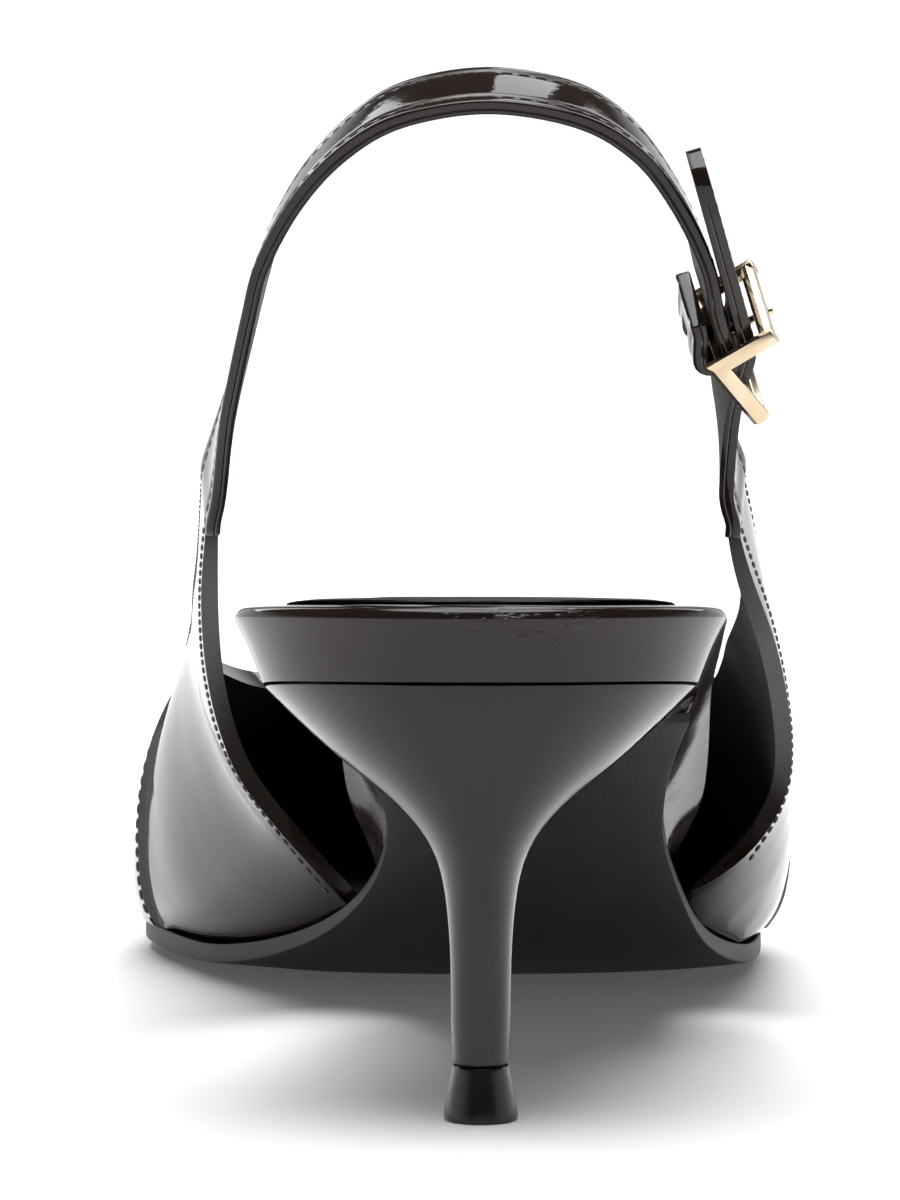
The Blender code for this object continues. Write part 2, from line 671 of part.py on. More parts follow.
def thick_sheet(name, points, raised, sheet, surface):
    """Give a sheet its wall: the inner skin is offset inwards, the edges are closed."""
    normals = [Vector((0, 0, 0)) for _ in points]
    for face in sheet:
        a, b, c, d = (points[i] for i in face)
        normal = (c - a).cross(d - b)
        for i in face:
            normals[i] += normal
    middle = Vector((0, SEAT_BACK + 0.7 * SHOE_LENGTH, 0.3 * INSTEP_HEIGHT))
    flip = sum(n.dot(p - middle) for n, p in zip(normals, points))
    sign = 1 if flip > 0 else -1
    normals = [sign * normal.normalized() for normal in normals]
    count = len(points)
    inner = [p - n * UPPER_WALL for p, n in zip(points, normals)]
    outer = [p + n * step for p, n, step in zip(points, normals, raised)]
    edges = {}
    for face in sheet:
        for a, b in zip(face, face[1:] + face[:1]):
            edges[a, b] = True
    faces = list(sheet)
    faces += [tuple(i + count for i in face[::-1]) for face in sheet]
    for a, b in edges:
        if (b, a) not in edges:
            faces.append((b, a, a + count, b + count))
    rest_on_sole(points, outer, inner)
    return add_object(name, outer + inner, faces, surface)


def rest_on_sole(points, outer, inner):
    """The foot of the wall lies flat on the sole line."""
    for i, point in enumerate(points):
        along = (point.y - SEAT_BACK) / SHOE_LENGTH
        if point.z - sole_height(min(along, 1.0)) > 0.01 * MM:
            continue
        side = -1 if point.x < ridge_middle(along) else 1
        foot = sole_edge(min(along, 1.0), side, RIM_TUCK)
        outer[i].z = point.z
        inner[i] = foot


def ridge_middle(along):
    medial = SOLE["medial"](along)
    lateral = SOLE["lateral"](along)
    return (medial + lateral) / 2 * BALL_WIDTH


def smooth_route(stops, spacing):
    """Evenly spaced places on a smooth curve. A stop is a point and a width direction."""
    stops = [np.array([*point, *width], dtype=float) for point, width in stops]
    stops = [2 * stops[0] - stops[1]] + stops + [2 * stops[-1] - stops[-2]]
    fine = []
    for a, b, c, d in zip(stops, stops[1:], stops[2:], stops[3:]):
        for i in range(24):
            t = i / 24
            curve = 2 * b + (c - a) * t + (2 * a - 5 * b + 4 * c - d) * t**2
            fine.append(0.5 * (curve + (3 * b - a - 3 * c + d) * t**3))
    fine.append(stops[-2])
    fine = np.array(fine)
    steps = np.linalg.norm(np.diff(fine[:, :3], axis=0), axis=1)
    length = np.concatenate([[0.0], np.cumsum(steps)])
    route = []
    for wanted in np.linspace(0, length[-1], max(2, round(length[-1] / spacing)) + 1):
        place = [float(np.interp(wanted, length, fine[:, axis])) for axis in range(6)]
        route.append((Vector(place[:3]), Vector(place[3:]).normalized()))
    return route


def eased_section(half, thin, ease):
    """Eight points round a flat bar's section, its corners eased."""
    lower = [(-half, -thin + ease), (-half + ease, -thin), (half - ease, -thin), (half, -thin + ease)]
    return lower + [(-width, -rise) for width, rise in lower]


def ribbon(name, route, surface, round_end=0.0):
    """Strap along a route, with its edges eased and, if asked, a rounded end."""
    shape = eased_section(STRAP_WIDTH / 2, STRAP_THICKNESS / 2, STRAP_THICKNESS / 4)
    left = [0.0]
    for (a, _), (b, _) in zip(route[::-1], route[-2::-1]):
        left.append(left[-1] + (b - a).length)
    left.reverse()
    rings = []
    for i, (point, width) in enumerate(route):
        ahead = route[min(i + 1, len(route) - 1)][0]
        behind = route[max(i - 1, 0)][0]
        tangent = (ahead - behind).normalized()
        width = (width - tangent * width.dot(tangent)).normalized()
        face = tangent.cross(width)
        narrow = 1.0
        if left[i] < round_end:
            narrow = math.sqrt(1 - 0.93 * (1 - left[i] / round_end) ** 2)
        rings.append([point + width * narrow * w + face * t for w, t in shape])
    return ring_solid(name, rings, surface)


def lean_width(lean, turn=0.0):
    """Width direction of a strap that climbs at a lean, turned sideways by a share."""
    return Vector((turn, math.sin(math.radians(lean)), math.cos(math.radians(lean)))).normalized()


def loop_stop(row, side):
    """Centre of the strap and its width direction at a row of the loop."""
    x = (row.medial if side < 0 else row.lateral) * STRAP_SPAN
    point = Vector((x, SEAT_BACK + row.along * SHOE_LENGTH, row.height * WING_HEIGHT))
    return point, lean_width(row.lean, -side * row.turn)


def wing_stop(side):
    """Where a strap starts, just clear of the end of its wing."""
    row = QUARTERS[0]
    low_section = Section(row.low_along, side)
    low = low_section.point(low_section.share_at_height(row.low_height * WING_HEIGHT))
    high_section = Section(row.medial_along, side)
    high = high_section.point(high_section.share_at_height(row.medial_height * WING_HEIGHT))
    width = (high - low).normalized()
    inward = Vector((-side, 0, 0))
    inward = (inward - width * inward.dot(width)).normalized()
    away = width.cross(inward) * side
    return (low + high) / 2 + inward * (UPPER_WALL / 2) + away * (1.2 * GAP), width, away


def turned(first, second, degrees):
    """Two directions at right angles, turned together so that the first leans off the second."""
    cosine = math.cos(math.radians(degrees))
    sine = math.sin(math.radians(degrees))
    return first * cosine - second * sine, second * cosine + first * sine


class Bar:
    """The buckle's centre bar: its middle, its own direction, the strap's, and outwards."""

    def __init__(self):
        self.middle = Vector(
            (BAR_SIDE * STRAP_SPAN, SEAT_BACK + BAR_ALONG * SHOE_LENGTH, BAR_HEIGHT * WING_HEIGHT)
        )
        out = Vector((1, 0, 0))
        width = lean_width(BAR_LEAN)
        climb, out = turned(out.cross(width), out, BAR_TILT)
        width, out = turned(width, out, BAR_TURN)
        self.width = width
        self.climb = climb
        self.out = out

    def at(self, climb, out, width=0.0):
        return self.middle + self.climb * climb + self.out * out + self.width * width

    def round_bar(self, radius, angle):
        """Point round the bar: 90 degrees is outwards, 180 is down the strap."""
        turn = math.radians(angle)
        return self.at(radius * math.cos(turn), radius * math.sin(turn))


def build_sling(bar, surface):
    """Strap from the medial wing over the crown, folded round the bar and slotted there."""
    reach = BAR_RADIUS + GAP + STRAP_THICKNESS / 2
    layer = STRAP_THICKNESS + GAP
    start, width, away = wing_stop(-1)
    stops = [(start, width), (start + away * (STRAP_WIDTH / 4), width)]
    stops += [loop_stop(row, -1) for row in STRAP_LOOP]
    stops += [loop_stop(row, 1) for row in STRAP_LOOP[-2:LAYERED_FROM - 1:-1]]
    stops += [(bar.round_bar(reach, 90), bar.width)]
    route = smooth_route(stops, STRAP_WIDTH * 0.4)
    route += [(bar.round_bar(reach, angle), bar.width) for angle in range(112, 271, 22)]
    tuck = [(bar.round_bar(reach, 288), bar.width)]
    tuck += [(bar.at(row.climb * STRAP_WIDTH, row.lift * layer), bar.width) for row in FOLDED_END]
    route += tuck
    strap = ribbon("sling_strap", route, surface)
    slot = []
    for climb in (-2.2 * layer, 1.05 * layer):
        for out in (-2 * layer, 2 * layer):
            for side in (-1, 1):
                slot.append(bar.at(climb, out, side * (PRONG_RADIUS + 3 * GAP)))
    faces = [(0, 1, 3, 2), (4, 6, 7, 5), (0, 4, 5, 1), (2, 3, 7, 6), (0, 2, 6, 4), (1, 5, 7, 3)]
    cutter = add_object("fold_slot", slot, faces, surface)
    combine(strap, cutter, "DIFFERENCE")
    return strap


def build_buckle_strap(bar, surface):
    """Strap end from the lateral wing, through the buckle, with punched holes."""
    layer = STRAP_THICKNESS + GAP
    start, width, away = wing_stop(1)
    stops = [(start, width), (start + away * (STRAP_WIDTH / 4), width)]
    stops += [loop_stop(STRAP_LOOP[0], 1)]
    stops += [(bar.at(row.climb * STRAP_WIDTH, row.lift * layer), bar.width) for row in STRAP_END]
    route = smooth_route(stops, STRAP_WIDTH * 0.22)
    strap = ribbon("buckle_strap", route, surface, STRAP_WIDTH * 0.6)
    first = bar.at(FIRST_HOLE * STRAP_WIDTH, STRAP_END[2].lift * layer)
    start = min(range(len(route)), key=lambda i: (route[i][0] - first).length)
    walked = 0.0
    wanted = 0.0
    cutters = []
    for i in range(start, len(route) - 1):
        point, width = route[i]
        ahead = route[i + 1][0]
        if walked >= wanted - STRAP_WIDTH * 0.11 and len(cutters) <= HOLE_COUNT:
            middle = first if not cutters else point
            face = (ahead - point).cross(width).normalized()
            if not cutters:
                face = (bar.at(FRAME_RISE, FRAME_RISE_OUT) - bar.at(0, 0)).normalized()
            cutters.append((middle, face))
            wanted += HOLE_SPACING
        walked += (ahead - point).length
    rings = [pin(middle, face, HOLE_RADIUS, 2 * STRAP_THICKNESS) for middle, face in cutters]
    points = []
    faces = []
    for ring in rings:
        shift = len(points)
        points += ring[0]
        faces += [tuple(i + shift for i in face) for face in ring[1]]
    cutter = add_object("strap_holes", points, faces, surface)
    combine(strap, cutter, "DIFFERENCE")
    return strap


def pin(middle, axis, radius, reach, sides=12):
    """Points and faces of a round pin."""
    across_pin = axis.orthogonal().normalized()
    other = axis.cross(across_pin).normalized()
    points = []
    for end in (-reach, reach):
        for i in range(sides):
            turn = 2 * math.pi * i / sides
            spoke = across_pin * math.cos(turn) + other * math.sin(turn)
            points.append(middle + axis * end + spoke * radius)
    faces = [tuple(range(sides)), tuple(range(2 * sides - 1, sides - 1, -1))]
    for i in range(sides):
        k = (i + 1) % sides
        faces.append((i, k, k + sides, i + sides))
    return points, faces


def combine(body, other, operation):
    """Cut or join with a helper body, which stays hidden."""
    other.hide_render = True
    other.display_type = "WIRE"
    step = body.modifiers.new(other.name, "BOOLEAN")
    step.operation = operation
    step.solver = "EXACT"
    step.object = other


def build_buckle_frame(bar, surface):
    """Bent frame: two rails, an end bar at each end and the centre bar at the bend."""
    thin = FRAME_THICKNESS / 2
    wide = FRAME_RAIL / 2
    ease = FRAME_THICKNESS / 4
    low = bar.at(FRAME_DROP * STRAP_WIDTH, FRAME_DROP_OUT * STRAP_WIDTH)
    high = bar.at(FRAME_RISE * STRAP_WIDTH, FRAME_RISE_OUT * STRAP_WIDTH)
    down = (low - bar.middle).normalized()
    up = (high - bar.middle).normalized()
    down_face = down.cross(bar.width)
    up_face = bar.width.cross(up)
    if down_face.dot(bar.out) < 0:
        down_face = -down_face
    if up_face.dot(bar.climb) > 0:
        up_face = -up_face
    bend = (down_face + up_face) / (1 + down_face.dot(up_face))
    rails = []
    for name, side in (("lower_rail", -1), ("upper_rail", 1)):
        shift = bar.width * side * (FRAME_WIDTH / 2 - wide)
        places = [(low + down * wide, down_face), (bar.middle + down * FRAME_THICKNESS, down_face)]
        places += [(bar.middle, bend), (bar.middle + up * FRAME_THICKNESS, up_face)]
        places.append((high + up * wide, up_face))
        rings = []
        for point, face in places:
            shape = eased_section(wide, thin, ease)
            rings.append([point + shift + bar.width * w + face * t for w, t in shape])
        rails.append(ring_solid(name, rings, surface))
    points = []
    faces = []
    reach = bar.width * (FRAME_WIDTH / 2 - wide)
    bars = [
        (low, down, down_face, wide * 0.95, thin * 0.96),
        (bar.middle, down, down_face, BAR_RADIUS * 0.9, BAR_RADIUS * 0.9),
        (high, up, up_face, wide * 0.95, thin * 0.96),
    ]
    for middle, along, face, half, rise in bars:
        shape = eased_section(half, rise, ease)
        base = len(points)
        for end in (-reach, reach):
            points += [middle + end + along * w + face * t for w, t in shape]
        faces += [tuple(range(base, base + 8)), tuple(range(base + 15, base + 7, -1))]
        for i in range(8):
            k = (i + 1) % 8
            faces.append((base + i, base + k, base + k + 8, base + i + 8))
    frame = add_object("buckle_frame", points, faces, surface)
    for rail in rails:
        combine(frame, rail, "UNION")
    return frame


def build_prong(bar, surface):
    """Prong hooked round the bar, out through the strap end, on to the upper bar."""
    radius = BAR_RADIUS + GAP + PRONG_RADIUS
    up_angle = math.degrees(math.atan2(FRAME_RISE_OUT, FRAME_RISE))
    leave = up_angle + 90
    centres = [bar.round_bar(radius, leave + PRONG_HOOK * (1 - i / 12)) for i in range(13)]
    reach = math.hypot(FRAME_RISE, FRAME_RISE_OUT) * STRAP_WIDTH
    along = (bar.at(FRAME_RISE, FRAME_RISE_OUT) - bar.middle).normalized()
    rest = (bar.round_bar(1, leave) - bar.middle).normalized()
    lift = FRAME_THICKNESS / 2 + GAP + PRONG_RADIUS - radius
    for share in (0.25, 0.5, 0.75, 1.0, 1.08, 1.13):
        centres.append(centres[12] + along * (reach * share) + rest * (max(0.0, lift) * min(share, 1.0)))
    rings = []
    for i, point in enumerate(centres):
        tangent = (centres[min(i + 1, len(centres) - 1)] - centres[max(i - 1, 0)]).normalized()
        side = tangent.cross(bar.width).normalized()
        thin = PRONG_RADIUS * (0.55 if i in (0, len(centres) - 1) else 1.0)
        rings.append(
            [
                point + (bar.width * math.cos(a) + side * math.sin(a)) * thin
                for a in (math.pi * j / 5 for j in range(10))
            ]
        )
    return ring_solid("buckle_prong", rings, surface)


def main():
    for thing in list(bpy.data.objects):
        bpy.data.objects.remove(thing, do_unlink=True)
    patent = material("patent leather", (0.022, 0.016, 0.014), 0.28, coat=1.0)
    band = material("wrapped band", (0.024, 0.018, 0.015), 0.3, coat=1.0)
    lining = material("dark lining", (0.010, 0.009, 0.009), 0.6)
    sole = material("sole", (0.012, 0.012, 0.013), 0.55)
    tip = material("heel tip", (0.006, 0.006, 0.006), 0.4)
    metal = material("pale gold", (0.83, 0.66, 0.42), 0.18, metallic=1.0)
    build_outsole(sole)
    build_insole(band)
    build_sock(lining)
    build_heel(patent)
    build_top_lift(tip)
    build_upper(patent)
    bar = Bar()
    build_sling(bar, patent)
    build_buckle_strap(bar, patent)
    build_buckle_frame(bar, metal)
    build_prong(bar, metal)


main()
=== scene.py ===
import math
import bmesh
import bpy
import numpy as np
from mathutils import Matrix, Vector
from mathutils.bvhtree import BVHTree


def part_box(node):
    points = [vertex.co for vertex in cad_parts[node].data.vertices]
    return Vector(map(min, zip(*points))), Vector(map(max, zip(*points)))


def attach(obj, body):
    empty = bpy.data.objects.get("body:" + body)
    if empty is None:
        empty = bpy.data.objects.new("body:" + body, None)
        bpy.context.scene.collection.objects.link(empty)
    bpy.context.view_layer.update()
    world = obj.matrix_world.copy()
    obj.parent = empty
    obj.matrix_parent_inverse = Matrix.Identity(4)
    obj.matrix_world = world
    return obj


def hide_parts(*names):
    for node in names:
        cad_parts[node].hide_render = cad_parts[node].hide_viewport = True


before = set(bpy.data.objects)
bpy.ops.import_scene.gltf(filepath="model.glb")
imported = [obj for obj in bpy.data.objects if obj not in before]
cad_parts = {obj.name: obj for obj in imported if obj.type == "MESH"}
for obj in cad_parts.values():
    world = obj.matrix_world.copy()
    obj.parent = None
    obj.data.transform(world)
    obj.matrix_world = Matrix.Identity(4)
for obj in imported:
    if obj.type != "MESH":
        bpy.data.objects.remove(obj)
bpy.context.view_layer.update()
print("frame loaded")

# shader maths


class Value:
    # one shader number: the operators add Math nodes
    def __init__(self, sheet, socket):
        self.sheet = sheet
        self.socket = socket

    def mathNode(self, operation, *values):
        return self.sheet.add("ShaderNodeMath", {"operation": operation}, values)

    def __add__(self, other):
        return self.mathNode("ADD", self, other)

    def __radd__(self, other):
        return self.mathNode("ADD", other, self)

    def __sub__(self, other):
        return self.mathNode("SUBTRACT", self, other)

    def __rsub__(self, other):
        return self.mathNode("SUBTRACT", other, self)

    def __mul__(self, other):
        return self.mathNode("MULTIPLY", self, other)

    def __rmul__(self, other):
        return self.mathNode("MULTIPLY", other, self)

    def __abs__(self):
        return self.mathNode("ABSOLUTE", self)


class Sheet:
    # a node tree, with calls that add to it
    def __init__(self, tree):
        self.nodes = tree.nodes
        self.links = tree.links

    def add(self, kind, settings=None, inputs=None, output=0):
        node = self.nodes.new(kind)
        for key, value in (settings or {}).items():
            setattr(node, key, value)
        pairs = inputs.items() if isinstance(inputs, dict) else enumerate(inputs or [])
        for key, value in pairs:
            if isinstance(value, Value):
                self.links.new(value.socket, node.inputs[key])
            else:
                node.inputs[key].default_value = value
        return Value(self, node.outputs[output])

    def place(self):
        return self.add("ShaderNodeTexCoord", output="Object")

    def noise(self, scale, detail=3.0, roughness=0.5, vector=None):
        vector = vector or self.place()
        inputs = {"Vector": vector, "Scale": scale, "Detail": detail, "Roughness": roughness}
        return self.add("ShaderNodeTexNoise", {}, inputs)

    def smooth(self, value, low, high, toLow=0.0, toHigh=1.0):
        return self.add(
            "ShaderNodeMapRange",
            {"interpolation_type": "SMOOTHSTEP"},
            {"Value": value, "From Min": low, "From Max": high, "To Min": toLow, "To Max": toHigh},
        )

    def mix(self, factor, first, second):
        return self.add(
            "ShaderNodeMix", {"data_type": "RGBA"}, {0: factor, 6: first, 7: second}, output=2
        )


class Paint(Sheet):
    # one material with a Principled shader
    def __init__(self, name, **constants):
        self.material = bpy.data.materials.new(name)
        self.material.use_nodes = True
        super().__init__(self.material.node_tree)
        self.shader = self.nodes["Principled BSDF"]
        for socketName, value in constants.items():
            self.shader.inputs[socketName.replace("_", " ")].default_value = value

    def feed(self, socketName, value):
        self.links.new(value.socket, self.shader.inputs[socketName])

    def bump(self, height, strength=1.0):
        return self.add("ShaderNodeBump", {}, {"Strength": strength, "Distance": 1.0, "Height": height})


# materials

patentLook = {
    "brown": (0.0190, 0.0118, 0.0095, 1.0),
    "deepBrown": (0.0120, 0.0076, 0.0064, 1.0),
    "gloss": 0.045,
    "haze": 0.05,
    "ripple": 0.00016,      # height of the slow waves in the lacquer
    "peel": 0.000012,       # and of its fine orange peel
}
bandLook = {
    **patentLook,
    "gloss": 0.09,
    "haze": 0.07,
    "wrinkleSide": 0.004,               # middle of the wrinkled patch, sideways and up
    "wrinkleHeight": 0.0592,
    "wrinkleWidths": (0.016, 0.004),    # half sizes where the wrinkles end and where they are full
    "wrinkleHeights": (0.0026, 0.0008),
    "wrinkleScale": (260.0, 260.0, 900.0),
    "wrinkleDepth": 0.00010,
}
# colours, and heights of the relief
stuffLook = {
    "liningBlack": (0.0115, 0.0112, 0.0114, 1),
    "liningWorn": (0.023, 0.022, 0.0218, 1),
    "liningGrain": 0.00005,
    "soleDark": (0.0105, 0.0107, 0.0112, 1),
    "solePale": (0.0170, 0.0172, 0.0178, 1),
    "soleGrit": 0.00004,
    "tipBlack": (0.0045, 0.0045, 0.0046, 1),
    "tipScuffed": (0.02, 0.019, 0.018, 1),
    "tipScuffTop": 0.0025,
    "tipPits": 0.00001,
    "threadDark": (0.045, 0.038, 0.033, 1),
    "threadPale": (0.14, 0.12, 0.105, 1),
    "threadTwist": 0.00006,
    "goldDeep": (0.70, 0.55, 0.38, 1),
    "goldPale": (0.79, 0.66, 0.49, 1),
    "goldLines": 0.000006,
    "goldLineScale": (400.0, 4000.0, 400.0),
}


def makePatent(name, look, relief=None):
    # glossy lacquer over dark leather: slow colour drift, faint haze, a little orange peel
    paint = Paint(name, Roughness=look["gloss"], IOR=1.44)
    drift = paint.smooth(paint.noise(28.0, 2.0), 0.35, 0.7)
    paint.feed("Base Color", paint.mix(drift, look["deepBrown"], look["brown"]))
    haze = paint.smooth(paint.noise(160.0, 4.0, 0.6), 0.4, 0.8)
    paint.feed("Roughness", haze * look["haze"] + look["gloss"])
    height = paint.noise(75.0, 1.0) * look["ripple"] + paint.noise(900.0, 2.0) * look["peel"]
    if relief:
        height = height + relief(paint)
    paint.feed("Normal", paint.bump(height))
    return paint.material


def strapRelief(paint):
    # the line between the two layers in the strap's edge
    across = paint.add("ShaderNodeAttribute", {"attribute_name": "across"}, output="Fac")
    depth = paint.add("ShaderNodeAttribute", {"attribute_name": "depth"}, output="Fac")
    half = strapLook["half"]
    onEdge = paint.smooth(abs(across), half - strapLook["layerFrom"], half - strapLook["layerFull"])
    layer = paint.smooth(abs(depth + strapLook["layerDrop"]), strapLook["layerHalf"], 0.0)
    return layer * onEdge * strapLook["layerDepth"] * -1.0


def bandRelief(paint):
    # small wrinkles where the band was pulled over the back rim
    sideways = paint.add("ShaderNodeSeparateXYZ", {}, [paint.place()], output="X")
    height = paint.add("ShaderNodeSeparateXYZ", {}, [paint.place()], output="Z")
    patch = paint.smooth(abs(sideways - bandLook["wrinkleSide"]), *bandLook["wrinkleWidths"])
    patch *= paint.smooth(abs(height - bandLook["wrinkleHeight"]), *bandLook["wrinkleHeights"])
    stretch = {"Vector": paint.place(), "Scale": bandLook["wrinkleScale"]}
    stretched = paint.add("ShaderNodeMapping", {}, stretch)
    crinkle = paint.smooth(paint.noise(1.0, 4.0, 0.6, vector=stretched), 0.53, 0.68)
    return crinkle * patch * bandLook["wrinkleDepth"]


def makeLining():
    # dull black leather with a fine grain
    paint = Paint("liningLeather", IOR=1.45)
    grain = paint.add(
        "ShaderNodeTexVoronoi", {"feature": "DISTANCE_TO_EDGE"},
        {"Vector": paint.place(), "Scale": 1500.0},
    )
    cells = paint.smooth(grain, 0.0, 0.25)
    wear = paint.smooth(paint.noise(45.0, 4.0), 0.4, 0.75)
    paint.feed("Base Color", paint.mix(wear, stuffLook["liningBlack"], stuffLook["liningWorn"]))
    paint.feed("Roughness", 0.62 - wear * 0.14)
    paint.feed("Normal", paint.bump(cells * stuffLook["liningGrain"], 0.8))
    return paint.material


def makeSoleStuff():
    # charcoal sole with a fine sanded surface
    paint = Paint("soleCharcoal", IOR=1.45)
    grit = paint.noise(2400.0, 3.0, 0.7)
    patches = paint.smooth(paint.noise(60.0, 4.0), 0.35, 0.7)
    paint.feed("Base Color", paint.mix(patches, stuffLook["soleDark"], stuffLook["solePale"]))
    paint.feed("Roughness", 0.42 + grit * 0.2)
    paint.feed("Normal", paint.bump(grit * stuffLook["soleGrit"], 0.8))
    return paint.material


def makeTipPlastic():
    # near-black moulded tip, scuffed a little at its foot
    paint = Paint("tipPlastic", IOR=1.5)
    height = paint.add("ShaderNodeSeparateXYZ", {}, [paint.place()], output="Z")
    foot = paint.smooth(height, stuffLook["tipScuffTop"], 0.0)
    scuff = foot * paint.smooth(paint.noise(700.0, 4.0), 0.45, 0.75)
    paint.feed("Base Color", paint.mix(scuff, stuffLook["tipBlack"], stuffLook["tipScuffed"]))
    paint.feed("Roughness", 0.24 + scuff * 0.3)
    paint.feed("Normal", paint.bump(paint.noise(1500.0, 2.0) * stuffLook["tipPits"]))
    return paint.material


def makeThread():
    # waxed brown thread, twisted
    paint = Paint("waxedThread", IOR=1.45)
    twist = paint.noise(2600.0, 2.0)
    paint.feed("Base Color", paint.mix(twist, stuffLook["threadDark"], stuffLook["threadPale"]))
    paint.feed("Roughness", 0.42 + twist * 0.2)
    paint.feed("Normal", paint.bump(twist * stuffLook["threadTwist"]))
    return paint.material


def makeGold():
    # pale gold plate with faint polishing lines
    paint = Paint("paleGold", Metallic=1.0)
    cloud = paint.smooth(paint.noise(220.0, 3.0), 0.35, 0.7)
    paint.feed("Base Color", paint.mix(cloud, stuffLook["goldDeep"], stuffLook["goldPale"]))
    stretch = {"Vector": paint.place(), "Scale": stuffLook["goldLineScale"]}
    lines = paint.add("ShaderNodeMapping", {}, stretch)
    polish = paint.noise(1.0, 2.0, vector=lines)
    paint.feed("Roughness", 0.10 + polish * 0.12)
    paint.feed("Normal", paint.bump(polish * stuffLook["goldLines"]))
    return paint.material


strapLook = {
    "half": 0.00475,
    "rowInset": 0.0015,         # stitch row to the strap's edge
    "grooveHalf": 0.0007,
    "grooveDepth": 0.00014,
    "rowLeast": 0.0004,         # a row closer to the middle than this has no groove
    "layerDepth": 0.00014,      # the line between the two layers in the edge
    "layerDrop": 0.0002,
    "layerHalf": 0.00016,
    "layerFrom": 0.0006,
    "layerFull": 0.0003,
    "swell": 0.00004,           # how far the leather swells between the rows
    "swellLeast": 0.0005,
    "grid": 0.0006,
    "rows": 30,
    "edgeRound": 0.00035,
    "rimRound": 0.00010,
    "topShare": 0.46,           # share of the thickness above which the grooves are pressed in
    "underFacing": -0.6,        # faces turned down more than this are lining
    "wingGap": 0.0008,          # the strap's end faces lie this close to the upper
    "embed": 0.0028,            # length hidden in the wing
    "embedThin": 0.40,          # how much of its section the strap loses there
    "twistOver": 0.022,         # length by the wing over which the strap's twist is spread
    "routeStep": 0.0005,
    "slotHalf": 0.0015,
    "slotPast": 0.0022,         # the slot's length past the bar, each way
    "holeRadius": 0.00095,
    "holeSpacing": 0.0063,
    "holes": 4,
    "firstHole": (0.0003, 1.88),        # up from the bar, and outwards in layers
}

patent = makePatent("patentLeather", patentLook)
strapPatent = makePatent("strapPatent", patentLook, strapRelief)
bandPatent = makePatent("bandPatent", bandLook, bandRelief)
lining = makeLining()
soleStuff = makeSoleStuff()
tipPlastic = makeTipPlastic()
threadStuff = makeThread()
gold = makeGold()
print("materials made")

# helpers for pieces

meshLook = {
    "weld": 2e-6,
    "quadFold": 50,         # triangles flatter to each other than this become one quad
    "quadShape": 150,
    "smoothFold": 50,       # edges that fold more than this stay sharp
}


def selectOnly(piece):
    if bpy.context.object and bpy.context.object.mode != "OBJECT":
        bpy.ops.object.mode_set(mode="OBJECT")
    bpy.ops.object.select_all(action="DESELECT")
    piece.select_set(True)
    bpy.context.view_layer.objects.active = piece


def copyNode(nodeName, pieceName):
    # a CAD solid's own mesh, welded, as the start of a finished piece
    piece = bpy.data.objects.new(pieceName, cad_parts[nodeName].data.copy())
    bpy.context.scene.collection.objects.link(piece)
    selectOnly(piece)
    if piece.data.has_custom_normals:
        bpy.ops.mesh.customdata_custom_splitnormals_clear()
    bpy.ops.object.mode_set(mode="EDIT")
    bpy.ops.mesh.select_all(action="SELECT")
    bpy.ops.mesh.remove_doubles(threshold=meshLook["weld"])
    bpy.ops.mesh.tris_convert_to_quads(
        face_threshold=math.radians(meshLook["quadFold"]),
        shape_threshold=math.radians(meshLook["quadShape"]),
    )
    bpy.ops.object.mode_set(mode="OBJECT")
    return piece


def applyModifier(piece, kind, **settings):
    selectOnly(piece)
    step = piece.modifiers.new(kind.lower(), kind)
    for key, value in settings.items():
        setattr(step, key, value)
    bpy.ops.object.modifier_apply(modifier=step.name)


def easeEdges(piece, width, angle, segments=2):
    applyModifier(
        piece, "BEVEL", width=width, segments=segments, limit_method="ANGLE",
        angle_limit=math.radians(angle),
    )


def smoothSkin(piece, levels):
    if levels:
        applyModifier(piece, "SUBSURF", levels=levels, render_levels=levels)
    selectOnly(piece)
    bpy.ops.object.shade_smooth_by_angle(angle=math.radians(meshLook["smoothFold"]))


def dress(piece, material, slotName, *nodeNames):
    piece.data.materials.clear()
    for stuff in material if isinstance(material, (list, tuple)) else [material]:
        piece.data.materials.append(stuff)
    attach(piece, "root")
    if nodeNames:
        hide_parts(*nodeNames)


def easedPiece(nodeName, pieceName, ease, fold, levels, material, slotName):
    # a CAD solid's own shape, with its edges eased and its skin smoothed
    piece = copyNode(nodeName, pieceName)
    easeEdges(piece, ease, fold)
    smoothSkin(piece, levels)
    dress(piece, material, slotName, nodeName)


def skinOf(piece):
    mesh = piece.data
    corners = [v.co.copy() for v in mesh.vertices]
    return BVHTree.FromPolygons(corners, [tuple(p.vertices) for p in mesh.polygons])


def coordinates(mesh):
    flat = np.empty(len(mesh.vertices) * 3)
    mesh.vertices.foreach_get("co", flat)
    return flat.reshape(-1, 3)


def setCoordinates(mesh, points):
    mesh.vertices.foreach_set("co", np.asarray(points).ravel())
    mesh.update()


# the straps' own lines, as the pattern cutter draws them

strapLine = {
    "length": 0.244,
    "seatBack": -0.0126,
    "wingHeight": 0.0727,
    "span": 0.064,
    "width": 0.0095,
    "thickness": 0.0018,
    "wall": 0.0021,             # the wing's own thickness
    "layer": 0.0021,
    "barReach": 0.00185,        # the fold's middle to the bar's middle
    "foldAngles": (90, 300, 15),
    "layeredFrom": 2,           # row below which the outer side is the buckle's strap
    "roundEnd": 0.6,            # length of the rounded tip in strap widths
    "roundShare": 0.93,
    "curveSteps": 24,
}
